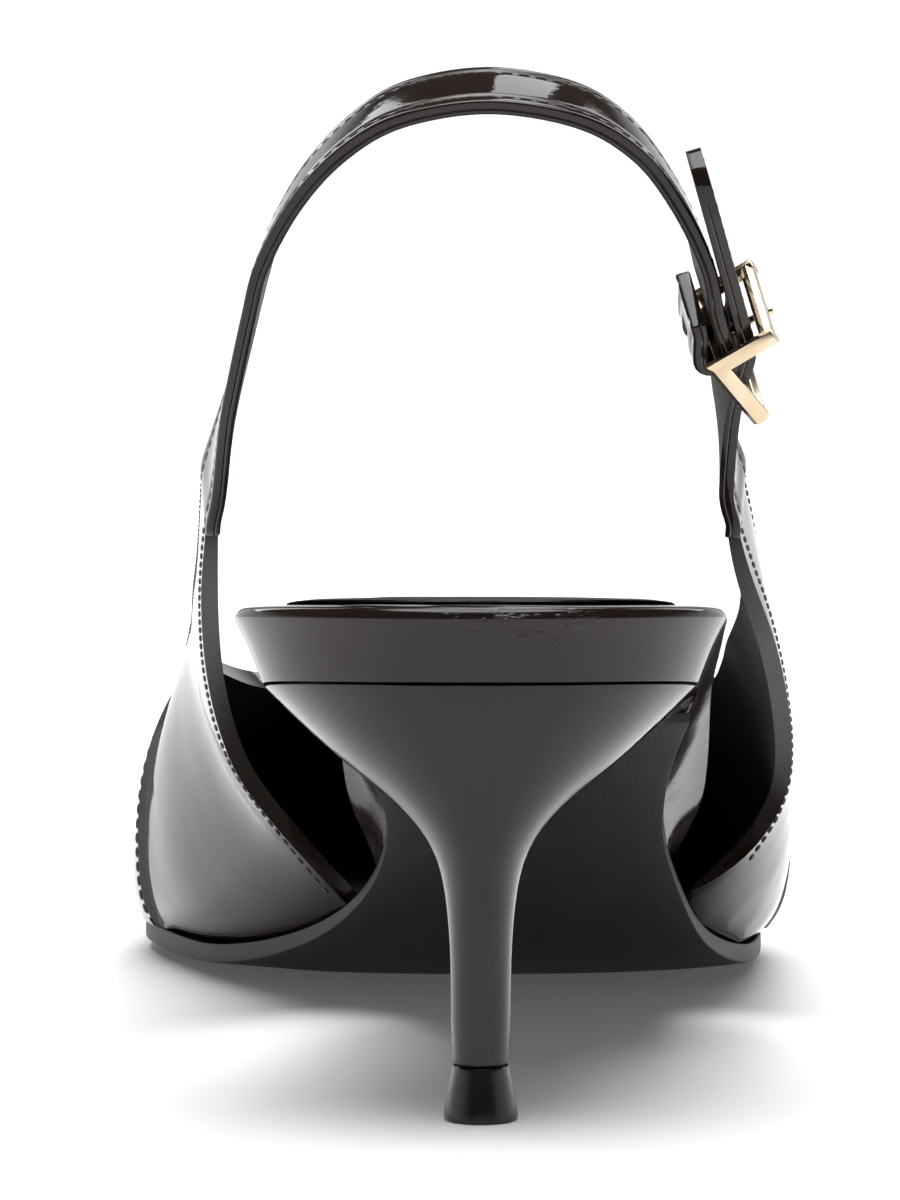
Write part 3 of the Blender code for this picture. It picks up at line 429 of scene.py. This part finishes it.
# share of the length, of the wing's height, both sides as shares of the span, climb, turn
strapLoop = [
    (0.1710, 1.030, -0.484, 0.458, 44, 0.12),
    (0.1300, 1.186, -0.446, 0.440, 49, 0.17),
    (0.0988, 1.318, -0.412, 0.420, 53, 0.19),
    (0.0832, 1.403, -0.384, 0.397, 57, 0.22),
    (0.0664, 1.502, -0.322, 0.341, 61, 0.22),
    (0.0525, 1.582, -0.240, 0.270, 64, 0.20),
    (0.0430, 1.636, -0.140, 0.169, 67, 0.10),
    (0.0390, 1.659, 0.0125, 0.0125, 68, 0.00),
]
# climb in strap widths and lift in layers, from the buckle's bar
strapEnd = [(-1.16, 0.50), (-0.55, 1.16), (0.00, 1.88), (0.63, 1.66), (1.60, 1.22), (2.98, 0.58)]
foldedEnd = [(0.21, -0.80), (0.42, -0.68), (0.64, -0.76)]
barPlace = {"along": 0.116, "height": 1.252, "side": 0.417, "lean": 49, "turn": 11, "tilt": 6}


def leanWidth(lean, turn=0.0):
    return Vector((turn, math.sin(math.radians(lean)), math.cos(math.radians(lean)))).normalized()


def turned(first, second, degrees):
    cosine = math.cos(math.radians(degrees))
    sine = math.sin(math.radians(degrees))
    return first * cosine - second * sine, second * cosine + first * sine


class Bar:
    # the buckle's centre bar: its middle, its own direction, the strap's, and outwards
    def __init__(self):
        self.middle = Vector((
            barPlace["side"] * strapLine["span"],
            strapLine["seatBack"] + barPlace["along"] * strapLine["length"],
            barPlace["height"] * strapLine["wingHeight"],
        ))
        out = Vector((1, 0, 0))
        width = leanWidth(barPlace["lean"])
        self.climb, out = turned(out.cross(width), out, barPlace["tilt"])
        self.width, self.out = turned(width, out, barPlace["turn"])

    def at(self, climb, out, width=0.0):
        return self.middle + self.climb * climb + self.out * out + self.width * width

    def round(self, radius, angle):
        turn = math.radians(angle)
        return self.at(radius * math.cos(turn), radius * math.sin(turn))


bar = Bar()


def smoothRoute(stops, spacing):
    # evenly spaced places on a smooth curve; a stop is a point and a width direction
    stops = [np.array([*point, *width], dtype=float) for point, width in stops]
    stops = [2 * stops[0] - stops[1]] + stops + [2 * stops[-1] - stops[-2]]
    fine = []
    steps = strapLine["curveSteps"]
    for a, b, c, d in zip(stops, stops[1:], stops[2:], stops[3:]):
        for i in range(steps):
            t = i / steps
            curve = 2 * b + (c - a) * t + (2 * a - 5 * b + 4 * c - d) * t**2
            fine.append(0.5 * (curve + (3 * b - a - 3 * c + d) * t**3))
    fine.append(stops[-2])
    fine = np.array(fine)
    length = np.concatenate([[0.0], np.cumsum(np.linalg.norm(np.diff(fine[:, :3], axis=0), axis=1))])
    wanted = np.linspace(0, length[-1], max(2, round(length[-1] / spacing)) + 1)
    places = np.stack([np.interp(wanted, length, fine[:, axis]) for axis in range(6)], axis=1)
    return [(Vector(place[:3]), Vector(place[3:]).normalized()) for place in places]


def loopStop(row, side):
    along, height, medial, lateral, lean, turn = row
    x = (medial if side < 0 else lateral) * strapLine["span"]
    y = strapLine["seatBack"] + along * strapLine["length"]
    return Vector((x, y, height * strapLine["wingHeight"])), leanWidth(lean, -side * turn)


def barStop(row):
    return bar.at(row[0] * strapLine["width"], row[1] * strapLine["layer"]), bar.width


def wingStart(strap, wall):
    # the strap's end by its wing: middle, width direction and the way that the strap leaves
    near = [p for p in strap.data.polygons if wall.find_nearest(p.center)[3] < strapLook["wingGap"]]
    corners = {i for p in near for i in p.vertices}
    points = [strap.data.vertices[i].co.copy() for i in corners]
    middle = sum(points, Vector()) / len(points)
    far = max(points, key=lambda p: (p - middle).length)
    width = (far - middle).normalized()
    away = -sum((p.normal * p.area for p in near), Vector()).normalized()
    if width.z < 0:
        width = -width
    width = (width - away * width.dot(away)).normalized()
    return middle, width, away


def stripFrames(route):
    # arrays of points, widths, outward faces and lengths along a route
    points = np.array([list(point) for point, _ in route])
    widths = np.array([list(width) for _, width in route])
    gone = np.concatenate([[0.0], np.cumsum(np.linalg.norm(np.diff(points, axis=0), axis=1))])
    share = np.clip(1 - gone / strapLook["twistOver"], 0, 1)
    share *= share * (3 - 2 * share)
    widths += (widths[0] - widths) * share[:, None]
    tangents = np.gradient(points, axis=0)
    tangents /= np.linalg.norm(tangents, axis=1)[:, None]
    widths -= tangents * (widths * tangents).sum(axis=1)[:, None]
    widths /= np.linalg.norm(widths, axis=1)[:, None]
    walked = np.concatenate([[0.0], np.cumsum(np.linalg.norm(np.diff(points, axis=0), axis=1))])
    return points, widths, tangents, np.cross(tangents, widths), walked


def halfAt(length, walked, roundTip):
    # half width at a place along a strap; the tip is rounded
    if not roundTip:
        return np.full_like(walked, strapLook["half"])
    tip = strapLine["width"] * strapLine["roundEnd"]
    short = np.clip(1 - (length - walked) / tip, 0, 1)
    return strapLook["half"] * np.sqrt(1 - strapLine["roundShare"] * short**2)


def cutStrap(pieceName, length, roundTip, punches):
    # a flat strap, outer side up, starting at the wing; a punch is a middle and its half sizes
    bpy.ops.object.select_all(action="DESELECT")
    columns = round(length / strapLook["grid"])
    bpy.ops.mesh.primitive_grid_add(
        x_subdivisions=columns, y_subdivisions=strapLook["rows"], size=1, location=(0.5, 0, 0)
    )
    strap = bpy.context.object
    strap.name = pieceName
    bpy.ops.object.transform_apply()
    points = coordinates(strap.data)
    points[:, 0] = points[:, 0] * (length + strapLook["embed"]) - strapLook["embed"]
    points[:, 1] *= 2 * halfAt(length, points[:, 0], roundTip)
    setCoordinates(strap.data, points)
    applyModifier(strap, "SOLIDIFY", thickness=strapLine["thickness"], offset=0)
    easeEdges(strap, strapLook["edgeRound"], 60, 3)
    for place, halfLength, halfWidth, isRound in punches:
        if isRound:
            bpy.ops.mesh.primitive_cylinder_add(vertices=28, radius=1, depth=2, location=(place, 0, 0))
        else:
            bpy.ops.mesh.primitive_cube_add(size=2, location=(place, 0, 0))
        punch = bpy.context.object
        punch.scale = (halfLength, halfWidth, 2 * strapLine["thickness"])
        bpy.ops.object.transform_apply(location=False)
        applyModifier(strap, "BOOLEAN", operation="DIFFERENCE", solver="EXACT", object=punch)
        bpy.data.objects.remove(punch, do_unlink=True)
    easeEdges(strap, strapLook["rimRound"], 60)
    points = coordinates(strap.data)
    row = halfAt(length, points[:, 0], roundTip) - strapLook["rowInset"]
    apart = points[:, 1] / np.maximum(row, strapLook["swellLeast"])
    swell = np.clip(1 - apart**2, 0, 1) * strapLook["swell"]
    groove = np.clip(1 - np.abs(np.abs(points[:, 1]) - row) / strapLook["grooveHalf"], 0, 1)
    groove *= groove * (3 - 2 * groove) * (row > strapLook["rowLeast"])
    onTop = points[:, 2] > strapLine["thickness"] * strapLook["topShare"]
    points[:, 2] += onTop * (swell - groove * strapLook["grooveDepth"])
    hidden = 1 + np.minimum(points[:, 0], 0) / strapLook["embed"] * strapLook["embedThin"]
    points[:, 1:] *= hidden[:, None]
    setCoordinates(strap.data, points)
    for name, values in (("across", points[:, 1]), ("depth", points[:, 2])):
        layer = strap.data.attributes.new(name, "FLOAT", "POINT")
        layer.data.foreach_set("value", values)
    strap.data.materials.append(strapPatent)
    strap.data.materials.append(lining)
    for face in strap.data.polygons:
        face.material_index = 1 if face.normal.z < strapLook["underFacing"] else 0
    return strap


def wingSlope(start, along):
    # the way that the wing's middle runs up to the strap
    inside = start - along.normalized() * strapLook["embed"]
    spot, normal, _, _ = upperWall.find_nearest(inside)
    return np.array((start - spot + normal * strapLine["wall"] / 2).normalized())


def wrapFlat(points, frames, outward):
    # flat coordinates (along, across, out) laid along a route
    places, widths, _, faces, walked = frames
    laid = []
    for table in (places, widths, faces):
        laid.append(np.stack([np.interp(points[:, 0], walked, table[:, a]) for a in range(3)], axis=1))
    place, width, face = laid
    before = np.minimum(points[:, :1], 0) * wingSlope(Vector(places[0]), Vector(places[1] - places[0]))
    return place + before + (width * points[:, 1:2] + face * points[:, 2:3]) * outward


# the upper: one shell, patent outside and lining inside

upperLook = {
    "levels": 2,
    "rimEase": 0.0004,
    "seamWeight": 0.3,          # bevel at the lapped seam, as a share of the rims' bevel
    "middleX": -0.003,          # the line inside the shoe that outward is counted from
    "middleZ": 0.025,
    "toeReach": 0.03,
    "toeSwing": 0.4,
    "skinFold": 32,             # a skin folds by less than this, a rim's edge by more
    "seamFold": 60,             # the same where the vamp laps over
    "footFold": 50,
    "footLean": -0.88,          # faces turned down more than this are the shell's foot
    "footDrop": 0.0002,
    "footGap": 0.0008,
    "seamTilt": 0.6,
    "seamFrom": 0.125,
    "seamTo": 0.155,
    "seamAngles": (18, 80),
    "topFacing": -0.05,         # a rim turned down more than this belongs to the rear edge
    "innerFacing": 0.75,
    "wingEndReach": 0.0085,
    "wingEndDepth": 0.0009,     # corners this close to the wing's end face are fitted
    "wingEndFlat": 0.0006,      # edges this close to it are left without stitches
    "wingEndPast": 0.00005,
}


def outwardAt(point):
    toes = upperEnd - upperLook["toeReach"]
    swing = max(0.0, point.y - toes) * upperLook["toeSwing"]
    inner = Vector((upperLook["middleX"] - swing, min(point.y, toes), upperLook["middleZ"]))
    return (point - inner).normalized()


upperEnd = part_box("upper")[1].y
upper = copyNode("upper", "upperShell")
upperWall = skinOf(upper)
outsole = copyNode("outsole", "outsolePlate")
soleWall = skinOf(outsole)
starts = {}
for side, node in ((-1, "sling_strap"), (1, "buckle_strap")):
    solid = copyNode(node, "strapGuide")
    starts[side] = wingStart(solid, upperWall)
    bpy.data.objects.remove(solid, do_unlink=True)


def fitWingEnds(piece):
    # the wing's end takes the strap's section and meets it
    for middle, width, away in starts.values():
        through = away.cross(width)
        for vertex in piece.data.vertices:
            apart = vertex.co - middle
            isNear = apart.length < upperLook["wingEndReach"]
            if isNear and abs(apart.dot(away)) < upperLook["wingEndDepth"]:
                w = apart.dot(width)
                t = apart.dot(through)
                w = math.copysign(min(abs(w), strapLine["width"] / 2), w)
                t = math.copysign(min(abs(t), strapLine["thickness"] / 2), t)
                vertex.co = middle + width * w + through * t + away * upperLook["wingEndPast"]


def wallKinds(piece):
    # each face of the shell: 1 is the outer skin, -1 the inner skin, 0 a rim
    shell = bmesh.new()
    shell.from_mesh(piece.data)
    unseen = {f for f in shell.faces if f.normal.z > upperLook["footLean"]}
    patches = []
    for seed in shell.faces:
        if seed not in unseen:
            continue
        unseen.discard(seed)
        patch = [seed]
        for face in patch:
            for edge in face.edges:
                atSeam = upperLook["seamFrom"] < edge.verts[0].co.y < upperLook["seamTo"]
                fold = math.radians(upperLook["seamFold" if atSeam else "skinFold"])
                for other in edge.link_faces:
                    if other in unseen and edge.calc_face_angle(math.pi) < fold:
                        unseen.discard(other)
                        patch.append(other)
        patches.append(patch)
    patches.sort(key=lambda patch: -sum(f.calc_area() for f in patch))
    kinds = [0] * len(piece.data.polygons)
    for patch in patches[:2]:
        facing = sum(f.calc_area() * f.normal.dot(outwardAt(f.calc_center_median())) for f in patch)
        for face in patch:
            kinds[face.index] = 1 if facing > 0 else -1
    shell.free()
    return kinds


def isWingEnd(point):
    for middle, _, away in starts.values():
        apart = point - middle
        isNear = apart.length < upperLook["wingEndReach"]
        if isNear and abs(apart.dot(away)) < upperLook["wingEndFlat"]:
            return True
    return False


def isFoot(normal, point):
    # the faces under the shell, where it stands on the sole
    return normal.z < upperLook["footLean"] and soleWall.find_nearest(point)[3] < upperLook["footGap"]


def sortEdges(piece, kinds):
    # edges of the shell by place: a line holds vertex pairs with a normal that points off the leather
    low, high = upperLook["seamAngles"]
    shell = bmesh.new()
    shell.from_mesh(piece.data)
    lines = {}
    weights = np.zeros(len(piece.data.edges))
    for edge in shell.edges:
        if len(edge.link_faces) != 2:
            continue
        first, second = sorted(edge.link_faces, key=lambda f: -kinds[f.index])
        angle = math.degrees(edge.calc_face_angle())
        middle = (edge.verts[0].co + edge.verts[1].co) / 2
        pair = (edge.verts[0].index, edge.verts[1].index)
        found = (kinds[first.index], kinds[second.index])
        side = -1 if middle.x < upperLook["middleX"] else 1
        if found == (1, 1):
            run = edge.verts[0].co - edge.verts[1].co
            isUpright = abs(run.y) < upperLook["seamTilt"] * run.length
            atSeam = upperLook["seamFrom"] < middle.y < upperLook["seamTo"]
            if isUpright and atSeam and low < angle < high:
                weights[edge.index] = upperLook["seamWeight"]
                if edge.is_convex:
                    lines.setdefault(("seam", side), []).append((pair, Vector((0, -1, 0))))
            continue
        if found not in ((1, 0), (0, -1)):
            continue
        rim = first if found[0] == 0 else second
        if isFoot(rim.normal, middle):
            continue
        weights[edge.index] = 1.0
        if found[0] == 1 and not isWingEnd(middle):
            name = "top" if rim.normal.z > upperLook["topFacing"] else "rear"
            lines.setdefault((name, side), []).append((pair, rim.normal.copy()))
    shell.free()
    layer = piece.data.attributes.new("bevel_weight_edge", "FLOAT", "EDGE")
    layer.data.foreach_set("value", weights)
    return lines


def walkLine(pairs):
    # the longest chain of edges, as places with their normals
    ahead = {}
    for (a, b), normal in pairs:
        ahead.setdefault(a, []).append((b, normal))
        ahead.setdefault(b, []).append((a, normal))
    unused = set(ahead)
    best = []
    while unused:
        ends = [v for v in unused if sum(n in unused for n, _ in ahead[v]) <= 1] or unused
        at = min(ends)
        chain = [(at, ahead[at][0][1])]
        unused.discard(at)
        while True:
            onward = [(v, n) for v, n in ahead[at] if v in unused]
            if not onward:
                break
            at, normal = onward[0]
            chain.append((at, normal))
            unused.discard(at)
        if len(chain) > len(best):
            best = chain
    return best


def creaseFoot(piece):
    # the foot of the shell keeps its sharp edges
    shell = bmesh.new()
    shell.from_mesh(piece.data)
    creases = np.zeros(len(piece.data.edges))
    fold = math.radians(upperLook["footFold"])
    for edge in shell.edges:
        if len(edge.link_faces) == 2 and edge.calc_face_angle() > fold:
            creases[edge.index] = float(min(f.normal.z for f in edge.link_faces) < upperLook["footLean"])
    shell.free()
    layer = piece.data.attributes.new("crease_edge", "FLOAT", "EDGE")
    layer.data.foreach_set("value", creases)


wallFaces = wallKinds(upper)
edgeLines = sortEdges(upper, wallFaces)
rims = {
    key: [(upper.data.vertices[i].co.copy(), normal) for i, normal in walkLine(pairs)]
    for key, pairs in edgeLines.items()
}
print("edge lines of the upper", {key: len(line) for key, line in rims.items()})
fitWingEnds(upper)
footCorners = set()
for face in upper.data.polygons:
    if isFoot(face.normal, face.center):
        footCorners.update(face.vertices)
for corner in footCorners:
    upper.data.vertices[corner].co.z -= upperLook["footDrop"]
applyModifier(upper, "BEVEL", width=upperLook["rimEase"], segments=3, limit_method="WEIGHT")
creaseFoot(upper)
smoothSkin(upper, upperLook["levels"])
dress(upper, [patent, lining], "patent_leather", "upper")
for face in upper.data.polygons:
    _, wallNormal, nearest, _ = upperWall.find_nearest(face.center)
    isInner = wallFaces[nearest] == -1 and wallNormal.dot(face.normal) > upperLook["innerFacing"]
    face.material_index = 1 if isInner else 0
upperSkin = skinOf(upper)
print("upper made")

# sole, footbed, heel

seatLook = {
    "bandEase": 0.0004,
    "heelEase": 0.00035,
    "soleEase": 0.0004,
    "tipEase": 0.0003,
    "sockInset": 0.0020,
    "sockThin": 0.00035,
    "sockDrop": 0.00065,
    "sockFacing": 0.6,          # faces turned up more than this are the lining's top
    "fold": 50,
    "soleFold": 35,
    "levels": 2,
}

easedPiece(
    "insole", "footbedBand", seatLook["bandEase"], seatLook["fold"], seatLook["levels"],
    bandPatent, "wrapped_band",
)

sock = copyNode("sock_lining", "sockLining")
bpy.ops.object.mode_set(mode="EDIT")
bpy.ops.mesh.select_mode(type="FACE")
bpy.ops.mesh.select_all(action="DESELECT")
bpy.ops.object.mode_set(mode="OBJECT")
for face in sock.data.polygons:
    face.select = face.normal.z > seatLook["sockFacing"]
bpy.ops.object.mode_set(mode="EDIT")
bpy.ops.mesh.inset(thickness=seatLook["sockInset"])
bpy.ops.mesh.select_all(action="INVERT")
bpy.ops.object.mode_set(mode="OBJECT")
topFaces = [face for face in sock.data.polygons if face.normal.z > seatLook["sockFacing"]]
thinned = {i for face in topFaces if face.select for i in face.vertices}
kept = {i for face in topFaces if not face.select for i in face.vertices}
for vertex in sock.data.vertices:
    vertex.co.z -= seatLook["sockDrop"]
    if vertex.index in thinned and vertex.index not in kept:
        vertex.co.z -= seatLook["sockThin"]
smoothSkin(sock, 1)
dress(sock, lining, "lining", "sock_lining")

easedPiece(
    "heel", "heelCover", seatLook["heelEase"], seatLook["fold"], seatLook["levels"],
    patent, "patent_leather",
)

easeEdges(outsole, seatLook["soleEase"], seatLook["soleFold"])
smoothSkin(outsole, seatLook["levels"])
dress(outsole, soleStuff, "sole", "outsole")

easedPiece(
    "top_lift", "heelTip", seatLook["tipEase"], seatLook["fold"], seatLook["levels"],
    tipPlastic, "heel_tip",
)
print("sole, footbed and heel made")

# straps


def slingRoute(spacing):
    start, width, away = starts[-1]
    stops = [(start, width), (start + away * (strapLine["width"] / 4), width)]
    stops += [loopStop(row, -1) for row in strapLoop]
    stops += [loopStop(row, 1) for row in strapLoop[-2:strapLine["layeredFrom"] - 1:-1]]
    stops += [(bar.round(strapLine["barReach"], 90), bar.width)]
    return smoothRoute(stops, spacing)


def foldRoute(spacing):
    reach = strapLine["barReach"]
    stops = [(bar.round(reach, angle), bar.width) for angle in range(*strapLine["foldAngles"])]
    return smoothRoute(stops + [barStop(row) for row in foldedEnd], spacing)


def buckleRoute(spacing):
    start, width, away = starts[1]
    stops = [(start, width), (start + away * (strapLine["width"] / 4), width)]
    stops += [loopStop(strapLoop[0], 1)] + [barStop(row) for row in strapEnd]
    return smoothRoute(stops, spacing)


routeStep = strapLook["routeStep"]
slingFrames = stripFrames(slingRoute(routeStep) + foldRoute(routeStep)[1:])
buckleFrames = stripFrames(buckleRoute(routeStep))


def nearestWalk(frames, point):
    # length along a route at the place nearest to a point
    return frames[4][np.argmin(np.linalg.norm(frames[0] - np.array(point), axis=1))]


def makeStrap(pieceName, node, frames, outward, roundTip, punches):
    strap = cutStrap(pieceName, frames[4][-1], roundTip, punches)
    setCoordinates(strap.data, wrapFlat(coordinates(strap.data), frames, outward))
    smoothSkin(strap, 0)
    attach(strap, "root")
    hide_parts(node)


def strapPunches():
    # the slot over the bar in the sling strap, and the holes in the buckle's strap
    bend = [nearestWalk(slingFrames, bar.round(strapLine["barReach"], angle)) for angle in (90, 270)]
    halfLength = (bend[1] - bend[0]) / 2 + strapLook["slotPast"]
    slot = [(sum(bend) / 2, halfLength, strapLook["slotHalf"], False)]
    up, out = strapLook["firstHole"]
    first = nearestWalk(buckleFrames, bar.at(up, out * strapLine["layer"]))
    radius = strapLook["holeRadius"]
    holes = [
        (first + strapLook["holeSpacing"] * i, radius, radius, True) for i in range(strapLook["holes"])
    ]
    return slot, holes


slotPunch, holePunches = strapPunches()
makeStrap("slingStrap", "sling_strap", slingFrames, 1, False, slotPunch)
makeStrap("buckleStrap", "buckle_strap", buckleFrames, -1, True, holePunches)
print("straps made, lengths", round(slingFrames[4][-1], 4), round(buckleFrames[4][-1], 4))

# stitching

stitchLook = {
    "length": 0.00155,
    "pitch": 0.0020,
    "width": 0.00042,
    "height": 0.00028,
    "droop": 0.00016,       # how far the ends of a stitch dip into the leather
    "lift": 0.00007,
    "reachOut": 0.0003,
    "rimInset": 0.0017,
    "seamInset": 0.0013,
    "seamScale": 1.15,
    "seamPitch": 0.0021,
    "probeAlong": 0.0005,   # steps along and off the strap that give a stitch its directions
    "probeOut": 0.001,
    "stopByFold": 0.001,    # how far the strap's rows stop before the fold and before the tip
    "stopByTip": 0.0018,
}


def modelStitch():
    # one stitch along X, its ends dipping into the leather
    bpy.ops.object.select_all(action="DESELECT")
    bpy.ops.mesh.primitive_uv_sphere_add(segments=8, ring_count=6, radius=0.5, rotation=(0, math.pi / 2, 0))
    stitch = bpy.context.object
    bpy.ops.object.transform_apply(rotation=True)
    bpy.ops.object.mode_set(mode="EDIT")
    bpy.ops.mesh.select_all(action="SELECT")
    bpy.ops.transform.resize(value=(stitchLook["length"], stitchLook["width"], stitchLook["height"]))
    bpy.ops.object.mode_set(mode="OBJECT")
    points = coordinates(stitch.data)
    ends = np.abs(points[:, 0]) / (stitchLook["length"] / 2)
    points[:, 0] = np.sign(points[:, 0]) * ends**0.8 * stitchLook["length"] / 2
    points[:, 2] -= ends**3 * stitchLook["droop"]
    faces = sorted(tuple(p.vertices) for p in stitch.data.polygons)
    bpy.data.objects.remove(stitch, do_unlink=True)
    return points, faces


stitchPoints, stitchFaces = modelStitch()


def sewRow(pieceName, places, scale=1.0):
    # one joined mesh of stitches; a place is a point, the row's direction and the surface normal
    points = []
    faces = []
    for point, along, normal in places:
        along = (along - normal * along.dot(normal)).normalized()
        side = normal.cross(along)
        turn = np.array([along, side, normal])
        shift = len(points) * len(stitchPoints)
        points.append(stitchPoints * scale @ turn + np.array(point + normal * stitchLook["lift"]))
        faces += [tuple(i + shift for i in face) for face in stitchFaces]
    mesh = bpy.data.meshes.new(pieceName)
    mesh.from_pydata(np.concatenate(points).tolist(), [], faces)
    piece = bpy.data.objects.new(pieceName, mesh)
    bpy.context.scene.collection.objects.link(piece)
    mesh.shade_smooth()
    dress(piece, threadStuff, "patent_leather")


def resampleLine(points, pitch):
    # evenly spaced middles of stitches along a line, with their directions
    points = np.array([list(p) for p in points])
    walked = np.concatenate([[0.0], np.cumsum(np.linalg.norm(np.diff(points, axis=0), axis=1))])
    count = int(walked[-1] / pitch)
    wanted = (np.arange(count) + 0.5) * walked[-1] / count
    places = np.stack([np.interp(wanted, walked, points[:, a]) for a in range(3)], axis=1)
    ahead = np.stack([np.interp(wanted + pitch / 4, walked, points[:, a]) for a in range(3)], axis=1)
    behind = np.stack([np.interp(wanted - pitch / 4, walked, points[:, a]) for a in range(3)], axis=1)
    return [(Vector(p), Vector(a - b).normalized()) for p, a, b in zip(places, ahead, behind)]


def smoothLine(points, rounds=2):
    points = np.array([list(p) for p in points])
    for _ in range(rounds):
        points[1:-1] = points[1:-1] * 0.5 + (points[:-2] + points[2:]) * 0.25
    return points


def onSkin(line, skin, pitch):
    places = []
    for point, along in resampleLine(line, pitch):
        spot, normal, _, _ = skin.find_nearest(point)
        places.append((spot, along, normal))
    return places


def sewUpper():
    # rows along the top line, the rear edges and the vamp's lapped seam
    for (kind, side), line in sorted(rims.items()):
        isSeam = kind == "seam"
        inset = stitchLook["seamInset"] if isSeam else stitchLook["rimInset"]
        places = smoothLine([
            point - off * inset + outwardAt(point) * stitchLook["reachOut"] for point, off in line
        ])
        name = kind + "Stitches" + ("Medial" if side < 0 else "Lateral")
        pitch = stitchLook["seamPitch"] if isSeam else stitchLook["pitch"]
        sewRow(name, onSkin(places, upperSkin, pitch), stitchLook["seamScale"] if isSeam else 1.0)


def sewStrap(pieceName, frames, outward, roundTip, skipEnd):
    length = frames[4][-1]
    count = int((length - skipEnd) / stitchLook["pitch"])
    walked = (np.arange(count) + 0.5) * stitchLook["pitch"]
    row = halfAt(length, walked, roundTip) - strapLook["rowInset"]
    row = np.maximum(row, strapLook["rowLeast"])
    out = np.full_like(walked, strapLine["thickness"] / 2 - strapLook["grooveDepth"])
    probes = ((0, 0), (stitchLook["probeAlong"], 0), (0, stitchLook["probeOut"]))
    for side, sideName in ((-1, "Low"), (1, "High")):
        laid = [
            wrapFlat(np.stack([walked + shift, row * side, out + lift], axis=1), frames, outward)
            for shift, lift in probes
        ]
        places = [
            (Vector(p), Vector(a - p).normalized(), Vector(n - p).normalized()) for p, a, n in zip(*laid)
        ]
        sewRow(pieceName + sideName, places)


sewUpper()
barWalk = nearestWalk(slingFrames, bar.round(strapLine["barReach"], 90))
foldEnd = slingFrames[4][-1] - barWalk
sewStrap("slingStitches", slingFrames, 1, False, foldEnd + stitchLook["stopByFold"])
sewStrap("buckleStitches", buckleFrames, -1, True, stitchLook["stopByTip"])
print("stitching made")

# buckle

buckleLook = {
    "frameEase": 0.00016,
    "frameFold": 30,
    "prongEase": 0.00012,
    "prongFold": 50,
}
easedPiece(
    "buckle_frame", "buckleFrame", buckleLook["frameEase"], buckleLook["frameFold"], 0,
    gold, "pale_gold",
)
easedPiece(
    "buckle_prong", "buckleProng", buckleLook["prongEase"], buckleLook["prongFold"], 1,
    gold, "pale_gold",
)
print("buckle made")

# stage: floor, light, camera

stageLook = {
    "cameraPlace": (-0.0036, -1.505, 0.211),
    "cameraPitch": 5.69,
    "cameraLens": 389.7,
    "floorSize": 14.0,
    "floorColour": (0.9, 0.9, 0.9, 1.0),
    "floorGlow": 0.07,
    "sidesStrength": 0.76,      # the world's light, in shares of white
    "ceilingStrength": 5.8,
    "darkStrength": 0.06,
}
shoeMiddle = (0, 0.08, 0.05)
overShoe = (0, 0, 0.12)
# name, place, what it points at, width, height, brightness
softboxes = [
    ("overhead", (0.0, 0.65, 2.0), shoeMiddle, 1.6, 1.0, 1.5),
    ("middlePanel", (0.155, 0.84, 1.02), overShoe, 0.23, 0.5, 3.4),
    ("leftPanel", (-0.53, 0.92, 0.75), overShoe, 0.26, 0.85, 3.4),
    ("rightPanel", (0.56, 0.90, 0.80), overShoe, 0.26, 0.85, 2.8),
]


def makeFloor(settings):
    bpy.ops.object.select_all(action="DESELECT")
    bpy.ops.mesh.primitive_plane_add(size=settings["floorSize"], location=(0, 0, 0))
    floor = bpy.context.object
    floor.name = "floor"
    paint = Paint("paleFloor", Roughness=0.7, Base_Color=settings["floorColour"])
    paint.shader.inputs["Emission Color"].default_value = (1.0, 1.0, 1.0, 1.0)
    paint.shader.inputs["Emission Strength"].default_value = settings["floorGlow"]
    floor.data.materials.append(paint.material)


def makeCamera(settings):
    camera = bpy.data.objects.new("camera", bpy.data.cameras.new("camera"))
    bpy.context.scene.collection.objects.link(camera)
    camera.location = settings["cameraPlace"]
    camera.rotation_euler = (math.radians(90 - settings["cameraPitch"]), 0, 0)
    camera.data.sensor_fit = "VERTICAL"
    camera.data.sensor_height = 36
    camera.data.lens = settings["cameraLens"]
    camera.data.clip_end = 100
    bpy.context.scene.camera = camera


def makeAreaLight(name, place, aim, width, height, radiance):
    # a softbox of a given brightness
    light = bpy.data.objects.new(name, bpy.data.lights.new(name, "AREA"))
    bpy.context.scene.collection.objects.link(light)
    light.data.shape = "RECTANGLE"
    light.data.size = width
    light.data.size_y = height
    light.data.energy = radiance * width * height * math.pi
    light.location = place
    light.rotation_euler = (Vector(aim) - Vector(place)).to_track_quat("-Z", "Y").to_euler()
    light.visible_camera = False


def makeWorld(settings):
    # bright low surroundings and a small bright ceiling, dark between them and by the photographer
    world = bpy.data.worlds.new("studio")
    bpy.context.scene.world = world
    world.use_nodes = True
    room = Sheet(world.node_tree)
    direction = room.add("ShaderNodeTexCoord", output="Generated")
    forward = room.add("ShaderNodeSeparateXYZ", {}, [direction], output="Y")
    up = room.add("ShaderNodeSeparateXYZ", {}, [direction], output="Z")
    low = room.smooth(up, 0.40, 0.15)
    sides = room.smooth(forward, -0.85, -0.15)
    ceiling = room.smooth(up, 0.87, 0.94)
    strength = low * sides * settings["sidesStrength"] + ceiling * settings["ceilingStrength"]
    strength += settings["darkStrength"]
    background = room.nodes["Background"]
    background.inputs["Color"].default_value = (1, 1, 1, 1)
    room.links.new(strength.socket, background.inputs["Strength"])


makeFloor(stageLook)
makeCamera(stageLook)
for softbox in softboxes:
    makeAreaLight(*softbox)
makeWorld(stageLook)
bpy.context.scene.view_settings.view_transform = "Standard"
print("stage made")
